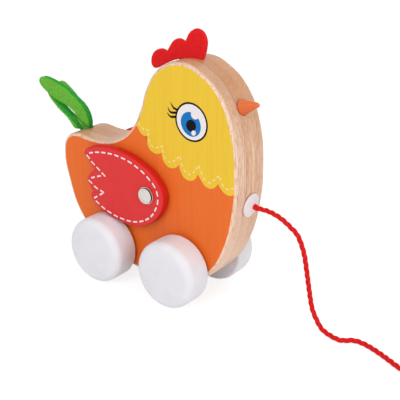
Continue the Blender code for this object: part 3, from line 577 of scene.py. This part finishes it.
def merged_mesh(node):
    """A copy of a node's mesh with its loose triangles joined."""
    shell = bmesh.new()
    shell.from_mesh(frame["nodes"][node].data)
    bmesh.ops.remove_doubles(shell, verts=shell.verts, dist=MERGE)
    shell.verts.index_update()
    points = [vertex.co.copy() for vertex in shell.verts]
    faces = [[vertex.index for vertex in face.verts] for face in shell.faces]
    shell.free()
    mesh = bpy.data.meshes.new(node + "_copy")
    mesh.from_pydata(points, [], faces)
    return mesh


def dressed(node, name, surface, body, slot):
    """A node with its loose triangles joined and its round faces smooth."""
    mesh = merged_mesh(node)
    mesh.materials.append(surface)
    mesh.shade_smooth()
    mesh.set_sharp_from_angle(angle=SHARP_EDGE)
    piece = new_piece(name, mesh, body, slot, node)
    even = piece.modifiers.new("even normals", "WEIGHTED_NORMAL")
    even.keep_sharp = True
    return piece


def smooth(points, steps):
    """More points on a smooth line through the given ones."""
    rows = np.array(points, float)
    ends = np.vstack([2 * rows[0] - rows[1], rows, 2 * rows[-1] - rows[-2]])
    made = []
    for before, here, after, beyond in zip(ends, ends[1:], ends[2:], ends[3:]):
        for step in range(steps):
            t = step / steps
            bend = (2 * before - 5 * here + 4 * after - beyond) * t**2
            turn = (3 * here - before - 3 * after + beyond) * t**3
            made.append(here + ((after - before) * t + bend + turn) / 2)
    made.append(rows[-1])
    return np.array(made)


def unit(rows):
    """Each row, which is a way in space or in a plane, made one long."""
    return rows / np.linalg.norm(rows, axis=-1, keepdims=True)


def flat_outline(node, side):
    """The outer outline, as (x, z) in order, of a board's flat face on one side, and its y."""
    mesh = merged_mesh(node)
    shell = bmesh.new()
    shell.from_mesh(mesh)
    shell.normal_update()
    level = max(side * vertex.co.y for vertex in shell.verts)
    flat = {
        face
        for face in shell.faces
        if face.normal.y * side > FLAT_SHARE
        and side * face.calc_center_median().y > level - FLAT_SLACK
    }
    rim = [edge for edge in shell.edges if sum(face in flat for face in edge.link_faces) == 1]
    rim = dict.fromkeys(rim)
    loops = []
    while rim:
        edge = rim.popitem()[0]
        loop = [edge.verts[0], edge.verts[1]]
        while True:
            onward = next((e for e in loop[-1].link_edges if e in rim), None)
            if onward is None:
                break
            del rim[onward]
            loop.append(onward.other_vert(loop[-1]))
        loops.append([(vertex.co.x / MM, vertex.co.z / MM) for vertex in loop[:-1]])
    shell.free()
    bpy.data.meshes.remove(mesh)
    return max(loops, key=lambda loop: np.ptp([x for x, _ in loop])), side * level / MM


def oval(shape, grow=0.0, steps=56):
    """An ellipse as (x, z) points: centre, half axes and turn in degrees."""
    (x, z), (wide, tall), turn = shape
    turn = math.radians(turn)
    points = []
    for step in range(steps):
        angle = 2 * math.pi * step / steps
        u, v = (wide + grow) * math.cos(angle), (tall + grow) * math.sin(angle)
        points.append(
            (x + u * math.cos(turn) - v * math.sin(turn), z + u * math.sin(turn) + v * math.cos(turn))
        )
    return points


def stroke(points, widths, steps=5):
    """The outline of a pen stroke along points, with a width at each."""
    rows = smooth([(*point, width) for point, width in zip(points, widths)], steps)
    ways = unit(np.gradient(rows[:, :2], axis=0))
    aside = np.column_stack([-ways[:, 1], ways[:, 0]]) * rows[:, 2:] / 2
    return [*map(tuple, rows[:, :2] + aside), *map(tuple, (rows[:, :2] - aside)[::-1])]


def head_outline(body_line):
    """The yellow head: the collar's scallops, then the outline of the face over the crown."""
    collar = []
    for scallop in COLLAR_EDGE:
        collar += [tuple(point) for point in smooth(scallop, PRINT_STEPS)[:-1]]
    collar.append(COLLAR_EDGE[-1][-1])
    line = np.array(body_line)
    first = int(np.argmin(np.linalg.norm(line - collar[-1], axis=1)))
    last = int(np.argmin(np.linalg.norm(line - collar[0], axis=1)))
    ways = []
    for step in (1, -1):
        numbers = [first]
        while numbers[-1] != last:
            numbers.append((numbers[-1] + step) % len(line))
        ways.append([tuple(line[number]) for number in numbers])
    over = max(ways, key=lambda way: max(z for _, z in way))
    return collar[1:-1] + over


def printed(name, outline, layer, side, level, surface):
    """A closed film of paint with an outline in millimetres, so many layers above a face."""
    shell = bmesh.new()
    rings = []
    for lift in (layer - 1, layer):
        y = level + side * PRINT_LAYER * lift
        rings.append([shell.verts.new((x * MM, y * MM, z * MM)) for x, z in outline])
    for number in range(len(outline)):
        after = (number + 1) % len(outline)
        shell.faces.new((rings[0][number], rings[0][after], rings[1][after], rings[1][number]))
    for ring in rings:
        shell.faces.new(ring)
    bmesh.ops.triangulate(shell, faces=shell.faces, ngon_method="EAR_CLIP")
    bmesh.ops.recalc_face_normals(shell, faces=shell.faces)
    mesh = bpy.data.meshes.new(name)
    shell.to_mesh(mesh)
    shell.free()
    mesh.materials.append(surface)
    new_piece(name, mesh, "toy_body", "wood_painted")


def make_prints(finishes):
    """Paint and print on both sides: orange body, yellow head, its stitches and the eye."""
    for side, word in SIDES:
        body_line, level = flat_outline(f"body_board_{word}", side)
        films = [
            ("body_paint", body_line, 1, "orange"),
            ("head_paint", head_outline(body_line), 2, "yellow"),
            ("eye_line", oval(EYE_LINE, EYE_LINE_WIDTH / 2), 3, "black"),
            ("eye_white", oval(EYE_LINE, -EYE_LINE_WIDTH / 2), 4, "white"),
            ("eye_iris", oval(IRIS), 5, "blue"),
            ("eye_pupil", oval(PUPIL), 6, "black"),
            ("eye_iris_glint", oval(IRIS_GLINT), 7, "white"),
            ("eye_pupil_glint", oval(PUPIL_GLINT), 7, "white"),
        ]
        for number, lash in enumerate(LASHES, 1):
            films.append((f"eye_lash_{number}", stroke(lash, LASH_WIDTHS), 3, "black"))
        for name, outline, layer, key in films:
            printed(f"{name}_{word}", outline, layer, side, level, finishes[key])
        top = level + 2 * side * PRINT_LAYER
        thread = stitched(COLLAR_STITCHES, side, top, COLLAR_PITCH, COLLAR_DASH, finishes["cream"])
        new_piece(f"collar_stitches_{word}", thread, "toy_body", "wood_painted")


def settled(holder):
    """The plain mesh that an object's modifiers make of it, and the object is gone."""
    bpy.context.view_layer.update()
    graph = bpy.context.evaluated_depsgraph_get()
    made = bpy.data.meshes.new_from_object(holder.evaluated_get(graph))
    holder.modifiers.clear()
    bpy.data.objects.remove(holder, do_unlink=True)
    return made


def grown(mesh, tree, values):
    """The plain mesh that a node tree makes from a mesh."""
    holder = put("grown", mesh)
    nodes = holder.modifiers.new("nodes", "NODES")
    nodes.node_group = tree
    keys = {item.name: item.identifier for item in tree.interface.items_tree}
    for name, value in values.items():
        nodes[keys[name]] = value
    return settled(holder)


def new_tree(name, **inputs):
    """An empty geometry tree with its geometry sockets and the named inputs of the given kinds."""
    tree = bpy.data.node_groups.new(name, "GeometryNodeTree")
    face = tree.interface
    face.new_socket("Geometry", in_out="INPUT", socket_type="NodeSocketGeometry")
    for socket, kind in inputs.items():
        face.new_socket(socket, in_out="INPUT", socket_type="NodeSocket" + kind)
    face.new_socket("Geometry", in_out="OUTPUT", socket_type="NodeSocketGeometry")
    return tree, add(tree, "NodeGroupInput").outputs


def end_tree(tree, instances, material):
    """Ends a tree: its instances made real, with their material."""
    real = add(tree, "GeometryNodeRealizeInstances", {"Geometry": instances})
    done = add(tree, "GeometryNodeSetMaterial", {"Geometry": real, "Material": material})
    add(tree, "NodeGroupOutput", {"Geometry": done})
    return tree


def stitch_tree():
    """Rounded dashes along lines in an XZ plane, with one at each end of every line."""
    tree, given = new_tree(
        "printed stitches", Pitch="Float", Length="Float", Width="Float", Material="Material"
    )
    line = add(tree, "GeometryNodeMeshToCurve", {"Mesh": given["Geometry"]})
    length = add(tree, "GeometryNodeSplineLength")
    run = add(tree, "ShaderNodeMath", {0: length, 1: given["Length"]}, operation="SUBTRACT")
    gaps = add(tree, "ShaderNodeMath", {0: run, 1: given["Pitch"]}, operation="DIVIDE")
    whole = add(tree, "ShaderNodeMath", {0: gaps}, operation="ROUND")
    count = add(tree, "ShaderNodeMath", {0: whole, 1: 1.0}, operation="ADD")
    kept = add(tree, "GeometryNodeCaptureAttribute", domain="CURVE")
    kept.capture_items.new("FLOAT", "Count")
    feed(tree, kept, {"Geometry": line, "Count": count})
    half = add(tree, "ShaderNodeMath", {0: given["Length"], 1: 0.5}, operation="MULTIPLY")
    last = add(tree, "ShaderNodeMath", {0: length, 1: half}, operation="SUBTRACT")
    inset = add(tree, "GeometryNodeTrimCurve", {"Curve": kept, 4: half, 5: last}, mode="LENGTH")
    row = {"Curve": inset, "Count": kept.outputs["Count"]}
    spaced = add(tree, "GeometryNodeResampleCurve", row, mode="COUNT")
    places = add(tree, "GeometryNodeCurveToPoints", {"Curve": spaced}, mode="EVALUATED")
    turned = add(
        tree,
        "FunctionNodeAlignRotationToVector",
        {"Vector": places.outputs["Tangent"]},
        axis="X",
        pivot_axis="Y",
    )
    size = {"Width": given["Length"], "Height": given["Width"]}
    plain = add(tree, "GeometryNodeCurvePrimitiveQuadrilateral", size)
    corner = add(tree, "ShaderNodeMath", {0: given["Width"], 1: STITCH_ROUND}, operation="MULTIPLY")
    rounded = add(
        tree, "GeometryNodeFilletCurve", {"Curve": plain, "Count": 3, "Radius": corner}, mode="POLY"
    )
    flat = add(tree, "GeometryNodeFillCurve", {"Curve": rounded}, mode="NGONS")
    raised = add(
        tree,
        "GeometryNodeExtrudeMesh",
        {"Mesh": flat, "Offset Scale": PRINT_LAYER * MM, "Individual": False},
        mode="FACES",
    )
    under = add(tree, "GeometryNodeFlipFaces", {"Mesh": flat})
    joined = add(tree, "GeometryNodeJoinGeometry", {"Geometry": [under, raised]})
    welded = add(tree, "GeometryNodeMergeByDistance", {"Geometry": joined, "Distance": MERGE})
    upright = add(
        tree, "GeometryNodeTransform", {"Geometry": welded, "Rotation": (math.pi / 2, 0.0, 0.0)}
    )
    spread = {"Points": places, "Instance": upright, "Rotation": turned}
    placed = add(tree, "GeometryNodeInstanceOnPoints", spread)
    return end_tree(tree, placed, given["Material"])


def stitched(rows, side, level, pitch, dash, surface, turn=None):
    """Printed stitches along rows of (x, z) points in millimetres, on a face at y = level."""
    points, edges = [], []
    for row in rows:
        start = len(points)
        points += [(x * MM, 0.0, z * MM) for x, z in smooth(row, STITCH_STEPS)]
        edges += [(number, number + 1) for number in range(start, len(points) - 1)]
    mesh = bpy.data.meshes.new("line")
    mesh.from_pydata(points, edges, [])
    mesh.transform(turn or Matrix())
    length, width = dash
    values = {"Pitch": pitch * MM, "Length": length * MM, "Width": width * MM, "Material": surface}
    made = grown(mesh, STITCH_TREE, values)
    outer = max(side * vertex.co.y for vertex in made.vertices)
    lift = level * MM + side * (PRINT_LAYER * MM - outer)
    made.transform(Matrix.Translation((0.0, lift, 0.0)))
    return made


def make_wings(finishes):
    """Both wings in red lacquer with their printed stitch lines."""
    places = {joint["child"]: Vector(joint["pos_m"]) for joint in frame["joints"]}
    for side, word in SIDES:
        body = f"{word}_wing"
        raise_by = LEFT_WING_RAISE if word == "left" else 0.0
        wing = dressed(f"wing_{word}", f"{word}_wing_lacquered", finishes["wing"], body, "red_wing")
        wing.data.materials.append(finishes["wing_rim_painted_shade"])
        # Faces that look along y are lacquered; the rim gets the darker red of painted shade
        for face in wing.data.polygons:
            face.material_index = 0 if abs(face.normal.y) > WING_FACE_SHARE else 1
        low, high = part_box(f"wing_{word}")
        outer = (low if side < 0 else high).y / MM
        about = Matrix.Translation((places[body].x, 0.0, places[body].z))
        about = about @ Matrix.Rotation(raise_by, 4, "Y")
        thread = stitched(WING_STITCHES, side, outer, WING_PITCH, WING_DASH, finishes["white"], about)
        new_piece(f"{word}_wing_stitches", thread, body, "red_wing")


def revolved(parts, place, way):
    """A turned form of several profiles, joined end to end, each with a finish of its own."""
    shell = bmesh.new()
    turn = Vector((0.0, 0.0, 1.0)).rotation_difference(Vector(way)).to_matrix().to_4x4()
    set_down = Matrix.Translation(place) @ turn
    for number, profile in enumerate(parts):
        rings = []
        for radius, height in profile:
            ring = []
            for step in range(TURNED_STEPS if radius else 1):
                angle = 2 * math.pi * step / TURNED_STEPS
                spot = Vector((radius * math.cos(angle), radius * math.sin(angle), height))
                ring.append(shell.verts.new(set_down @ (spot * MM)))
            rings.append(ring)
        for lower, upper in zip(rings, rings[1:]):
            for step in range(TURNED_STEPS):
                after = (step + 1) % TURNED_STEPS
                corners = [lower[step % len(lower)], lower[after % len(lower)]]
                corners += [upper[after % len(upper)], upper[step % len(upper)]]
                face = shell.faces.new(list(dict.fromkeys(corners)))
                face.material_index = number
    bmesh.ops.remove_doubles(shell, verts=shell.verts, dist=MERGE)
    bmesh.ops.recalc_face_normals(shell, faces=shell.faces)
    mesh = bpy.data.meshes.new("revolved")
    shell.to_mesh(mesh)
    shell.free()
    mesh.shade_smooth()
    mesh.set_sharp_from_angle(angle=SHARP_PRESSED)
    return mesh


def make_caps(finishes):
    """The pressed caps: a domed face with a rolled rim, a side wall drawn dark as a painted
    reflection, and a bright flange.
    """
    for side, word in SIDES:
        low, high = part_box(f"wing_cap_{word}")
        middle = (low + high) / 2
        middle.y = high.y if side < 0 else low.y
        mesh = revolved((CAP_FLANGE, CAP_WALL, CAP_FACE, CAP_SEAT), middle, (0.0, side, 0.0))
        # The side wall takes the dark edge finish, a painted dark reflection
        for key in ("nickel", "edge", "nickel", "steel"):
            mesh.materials.append(finishes[key])
        new_piece(f"{word}_cap_pressed", mesh, "toy_body", "nickel", f"wing_cap_{word}")


def fibre_tree():
    """Short bent fibres standing out of the faces of one material."""
    tree, given = new_tree("felt fibres", Seed="Int", Material="Material")
    seed = given["Seed"]
    chosen = add(tree, "GeometryNodeMaterialSelection", {"Material": given["Material"]})
    roots = add(
        tree,
        "GeometryNodeDistributePointsOnFaces",
        {"Mesh": given["Geometry"], "Selection": chosen, "Density": FIBRE_DENSITY, "Seed": seed},
        distribute_method="RANDOM",
    )
    bend = dict(zip(("Start", "Middle", "End"), FIBRE_BEND))
    arc = add(tree, "GeometryNodeCurveQuadraticBezier", {"Resolution": 3, **bend})
    scale = (FIBRE_LENGTH * MM,) * 3
    sized = add(tree, "GeometryNodeTransform", {"Geometry": arc, "Scale": scale})
    round_thread = {"Resolution": 3, "Radius": FIBRE_RADIUS * MM}
    thread = add(tree, "GeometryNodeCurvePrimitiveCircle", round_thread)
    hair = add(
        tree, "GeometryNodeCurveToMesh", {"Curve": sized, "Profile Curve": thread, "Fill Caps": True}
    )
    least = (-FIBRE_LEAN, -FIBRE_LEAN, 0.0)
    most = (FIBRE_LEAN, FIBRE_LEAN, 2 * math.pi)
    spin = add(
        tree,
        "FunctionNodeRandomValue",
        {"Min": least, "Max": most, "Seed": seed},
        data_type="FLOAT_VECTOR",
    )
    sizes = {2: FIBRE_SMALLEST, 3: FIBRE_LARGEST, "Seed": seed}
    size = add(tree, "FunctionNodeRandomValue", sizes, data_type="FLOAT")
    turned = add(
        tree,
        "FunctionNodeRotateRotation",
        {"Rotation": roots.outputs["Rotation"], "Rotate By": spin},
        rotation_space="LOCAL",
    )
    spread = {"Points": roots, "Instance": hair, "Rotation": turned, "Scale": size.outputs[1]}
    placed = add(tree, "GeometryNodeInstanceOnPoints", spread)
    return end_tree(tree, placed, given["Material"])


def softened(node):
    """A felt node's form with its cut edges softened."""
    holder = put(node + "_soft", merged_mesh(node))
    even = holder.modifiers.new("even mesh", "REMESH")
    even.mode = "VOXEL"
    even.voxel_size = FELT_VOXEL * MM
    soft = holder.modifiers.new("soft edges", "SMOOTH")
    soft.factor = FELT_SOFTENING
    soft.iterations = FELT_PASSES
    made = settled(holder)
    made.shade_smooth()
    return made


def joined_meshes(name, meshes, surfaces):
    """Several meshes as one, each with a finish of its own."""
    shell = bmesh.new()
    for number, mesh in enumerate(meshes):
        before = len(shell.faces)
        shell.from_mesh(mesh)
        shell.faces.ensure_lookup_table()
        for face in shell.faces[before:]:
            face.material_index = number
        bpy.data.meshes.remove(mesh)
    made = bpy.data.meshes.new(name)
    shell.to_mesh(made)
    shell.free()
    for surface in surfaces:
        made.materials.append(surface)
    return made


def make_rear_leaf(mesh):
    """Springs the rear leaf out towards the others; its outer edge gets painted light, the rest
    painted shade.
    """
    looks = [vertex.normal.dot(REAR_LEAF_WAY) for vertex in mesh.vertices]
    for vertex, look in zip(mesh.vertices, looks):
        vertex.co += REAR_LEAF_WAY * min(0.0, look) * REAR_LEAF_FULL * MM
    rows = [round(face.center.z / (REAR_LEAF_ROW * MM)) for face in mesh.polygons]
    reach = np.array([face.center.dot(REAR_LEAF_WAY) / MM for face in mesh.polygons])
    for row in set(rows):
        chosen = [number for number, other in enumerate(rows) if other == row]
        middle = (reach[chosen].min() + reach[chosen].max()) / 2
        down = REAR_LEAF_FOOT - REAR_LEAF_ROW * row
        edge = middle + REAR_LEAF_EDGE + REAR_LEAF_NARROW * max(0.0, down)
        inner = middle + REAR_LEAF_INNER if down > 0.0 else -math.inf
        for number in chosen:
            # Painted light on the edges, painted shade elsewhere
            light = reach[number] > edge or reach[number] < inner
            mesh.polygons[number].material_index = 0 if light else 1


def fold_leaf(mesh):
    """Presses the fold into the right leaf's foot, with painted shade where it closes."""
    start, end = (Vector(point) for point in LEAF_FOLD)
    way = end - start

    def aside(point):
        spot = Vector((point.x, point.z)) / MM - start
        share = min(1.0, max(0.0, spot.dot(way) / way.length_squared))
        return (spot - share * way).length / LEAF_FOLD_WIDTH

    for vertex in mesh.vertices:
        vertex.co.y += LEAF_FOLD_DEPTH * MM * math.exp(-aside(vertex.co) ** 2)
    for face in mesh.polygons:
        if aside(face.center) < 1.0:
            face.material_index = 1


def hang_comb(mesh):
    """Lets the comb's front lobe hang out over its foot."""
    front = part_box("comb")[1].x / MM
    for vertex in mesh.vertices:
        ahead = (vertex.co.x / MM - COMB_HANG_BEHIND) / (front - COMB_HANG_BEHIND)
        below = (COMB_HANG_TOP - vertex.co.z / MM) / (COMB_HANG_TOP - CROWN_HEIGHT)
        share = min(1.0, max(0.0, 2 * ahead)) * min(1.0, max(0.0, below))
        vertex.co.x += share * COMB_HANG * MM


def make_felt(finishes):
    """Comb and tail leaves of felt, each leaf in painted light where it looks along its way and in
    painted shade elsewhere.
    """
    for node, name, flat, area, held, slot, seed in FELT_PIECES:
        mesh = softened(node)
        keys = ("red_felt",) if node == "comb" else ("felt_painted_light", "felt_painted_shade")
        surfaces = [finishes[key] for key in keys]
        for surface in surfaces:
            mesh.materials.append(surface)
        if node == "tail_leaf_rear":
            make_rear_leaf(mesh)
        if node == "comb":
            hang_comb(mesh)
        if node in LEAF_PAINTED_LIGHT:
            way, share = LEAF_PAINTED_LIGHT[node]
            for face in mesh.polygons:
                face.material_index = 0 if face.normal.dot(way) > share else 1
        if node == "tail_leaf_right":
            fold_leaf(mesh)
        # On the leaves, fibres take the painted light or painted shade of the faces they grow from
        hairs = [
            grown(mesh.copy(), FIBRE_TREE, {"Seed": seed, "Material": surface}) for surface in surfaces
        ]
        fibres = joined_meshes("fibres", hairs, surfaces)
        fuzz = new_piece(name + "_fibres", fibres, "toy_body", slot)
        piece = new_piece(name, mesh, "toy_body", slot, node)


def rope_mesh(name, line, surface, bulge=None):
    """The laid cord along a line: three strands, closed at their ends, with UVs along them."""
    line = np.array(line, float)
    steps = np.linalg.norm(np.diff(line, axis=0), axis=1)
    run = np.concatenate([[0], np.cumsum(steps)])
    count = int(run[-1] / (CORD_LAY / LAY_STEPS)) + 1
    places = np.linspace(0, run[-1], count)
    middle = np.column_stack([np.interp(places, run, line[:, axis]) for axis in range(3)])
    ways = unit(np.gradient(middle, axis=0))
    across = np.zeros_like(middle)
    across[0] = unit(np.cross(ways[0], (0.0, 0.3, 1.0)))
    for number in range(1, count):
        before, way = across[number - 1], ways[number]
        across[number] = unit(before - before.dot(way) * way)
    upward = np.cross(ways, across)
    size = np.ones(count)
    if bulge is not None:
        size += MOUTH_SWELL * np.exp(-(((places - bulge) / MOUTH_LENGTH) ** 2))
    sides = STRAND_SIDES
    points, faces, marks = [], [], []
    for strand in range(STRANDS):
        angle = 2 * math.pi * (places / CORD_LAY + strand / STRANDS)
        outward = np.cos(angle)[:, None] * across + np.sin(angle)[:, None] * upward
        centre = middle + (STRAND_OFFSET * size)[:, None] * outward
        along = unit(np.gradient(centre, axis=0))
        out = unit(outward - (outward * along).sum(1)[:, None] * along)
        aside = np.cross(along, out)
        base = len(points)
        for side in range(sides):
            turn = 2 * math.pi * side / sides
            reach = (STRAND_RADIUS * size)[:, None]
            ring = centre + reach * (math.cos(turn) * out + math.sin(turn) * aside)
            points += ring.tolist()
        for number in range(count - 1):
            for side in range(sides):
                here = base + side * count + number
                over = base + (side + 1) % sides * count + number
                faces.append((here, over, over + 1, here + 1))
                low, high = places[number], places[number + 1]
                left, right = side / sides, (side + 1) / sides
                marks += [(low, left), (low, right), (high, right), (high, left)]
        for end, order in ((0, -1), (count - 1, 1)):
            faces.append([base + side * count + end for side in range(sides)][::order])
            marks += [(places[end], 0.5)] * sides
    mesh = bpy.data.meshes.new(name)
    mesh.from_pydata(points, [], faces)
    mesh.uv_layers.new(name="UVMap").uv.foreach_set("vector", np.ravel(marks))
    mesh.shade_smooth()
    mesh.set_sharp_from_angle(angle=SHARP_CORD)
    mesh.materials.append(surface)
    return mesh


def coil_line():
    """The spare cord: each turn of its coil, then through the bead, with the bead's place and way."""
    lower = COIL_LIFT + CORD / 2
    middle = np.array([*COIL_MIDDLE, 0.0])
    points = []
    for step in range(2 * COIL_TURNS * COIL_POINTS + 1):
        turn = step / COIL_POINTS
        inward = COIL_TURNS - abs(turn - COIL_TURNS)
        climb = min(1, max(0, (turn - COIL_TURNS) / COIL_CLIMB + 0.5))
        climb = climb * climb * (3 - 2 * climb)
        angle = COIL_START + 2 * math.pi * turn
        reach = COIL_OUTER - COIL_PITCH * inward
        height = lower + COIL_RISE * climb
        points.append(middle + (reach * math.cos(angle), reach * math.sin(angle), height))
    forward = np.array([-math.sin(COIL_START), math.cos(COIL_START), 0.0])
    bead = points[-1] + BEAD_FORWARD * forward
    bead[2] = BEAD_RADIUS + BEAD_LIFT
    mouth = bead - (BEAD_HALF + COIL_LEAD) * forward
    lead = [points[0] - COIL_LEAD * forward, points[0] - COIL_LEAD / 2 * forward]
    sagged = points[-1] + SAG_PLACE * (mouth - points[-1]) - (0.0, 0.0, SAG)
    last = [sagged, mouth, mouth + COIL_LEAD / 2 * forward, bead + BEAD_HALF * forward]
    return lead + points + last, bead, forward


def knot_line(bead, forward):
    """A barrel knot: a few turns round behind the bead, then a loose end straight out."""
    up = np.array([0.0, 0.0, 1.0])
    aside = np.cross(forward, up)
    start = bead + (BEAD_HALF - KNOT_BORE) * forward
    points = [start]
    for step in range(KNOT_STEPS * KNOT_TURNS + 1):
        turn = step / KNOT_STEPS
        angle = 2 * math.pi * turn
        ramp = min(1.0, KNOT_OPENING * turn, KNOT_OPENING * (KNOT_TURNS - turn))
        reach = KNOT_RADIUS * math.sin(math.pi / 2 * ramp)
        circle = reach * (math.cos(angle) * aside + math.sin(angle) * up)
        points.append(start + (KNOT_START + KNOT_PITCH * turn) * forward + circle)
    points.append(points[-1] + KNOT_TAIL * forward)
    return points


def make_cord(finishes):
    """The pull cord from its plug to the bead, and the knot behind the bead."""
    coil, bead, forward = coil_line()
    line = smooth([*CORD_ROUTE, *coil], CORD_STEPS)
    mouth = (Vector(CORD_EXIT) - Vector(CORD_ROUTE[0])).length + CORD / 2
    mesh = rope_mesh("laid_cord", line, finishes["cotton"], mouth)
    cord = new_piece("laid_cord", mesh, "toy_body", "red_cord", "pull_cord", "cord_coil")
    turned = dressed("pull_bead", "turned_bead", finishes["dowel"], "toy_body", "dowel")
    mesh = rope_mesh("end_knot", smooth(knot_line(bead, forward), 2), finishes["cotton"])
    knot = new_piece("end_knot", mesh, "toy_body", "red_cord", "cord_end_knot")


def close_joints(mesh):
    """Fills the glue's gap on both faces of the core board."""
    face = max(vertex.co.y for vertex in mesh.vertices)
    for vertex in mesh.vertices:
        if abs(vertex.co.y) > face - FLAT_SLACK:
            vertex.co.y += math.copysign(GLUE_GAP, vertex.co.y)


def make_hard_pieces(finishes):
    """Boards, wheels, beak and plug with their finishes, and the small pieces behind them."""
    for word, key in (("right", "near"), ("core", "core"), ("left", "far")):
        slot = "wood" if word == "core" else "wood_painted"
        board = dressed(f"body_board_{word}", f"{word}_board_sanded", finishes[key], "toy_body", slot)
        if word == "core":
            close_joints(board.data)
    for axle in ("front", "rear"):
        for word in ("right", "left"):
            node = f"{axle}_wheel_{word}"
            body = f"{axle}_wheelset"
            dressed(node, f"{node}_lacquered", finishes["wheel"], body, "white_wheel")
    dressed("beak", "beak_lacquered", finishes["beak"], "toy_body", "orange_beak")
    dressed("cord_plug", "cord_plug_moulded", finishes["plug"], "toy_body", "white_plastic")
    for node, key in (
        ("front_axle", "dowel"),
        ("rear_axle", "dowel"),
        ("wing_pivot_rod", "steel"),
        ("wing_washer_right", "nylon"),
        ("wing_washer_left", "nylon"),
        ("cord_inner_knot", "knot"),
        ("coil_band", "paper"),
    ):
        frame["nodes"][node].data.materials[0] = finishes[key]


bpy.context.scene.view_settings.view_transform = "Standard"
make_camera()
make_floor()
make_light()
FINISHES = make_finishes()
STITCH_TREE = stitch_tree()
FIBRE_TREE = fibre_tree()
make_cord(FINISHES)
make_hard_pieces(FINISHES)
make_prints(FINISHES)
make_wings(FINISHES)
make_caps(FINISHES)
make_felt(FINISHES)
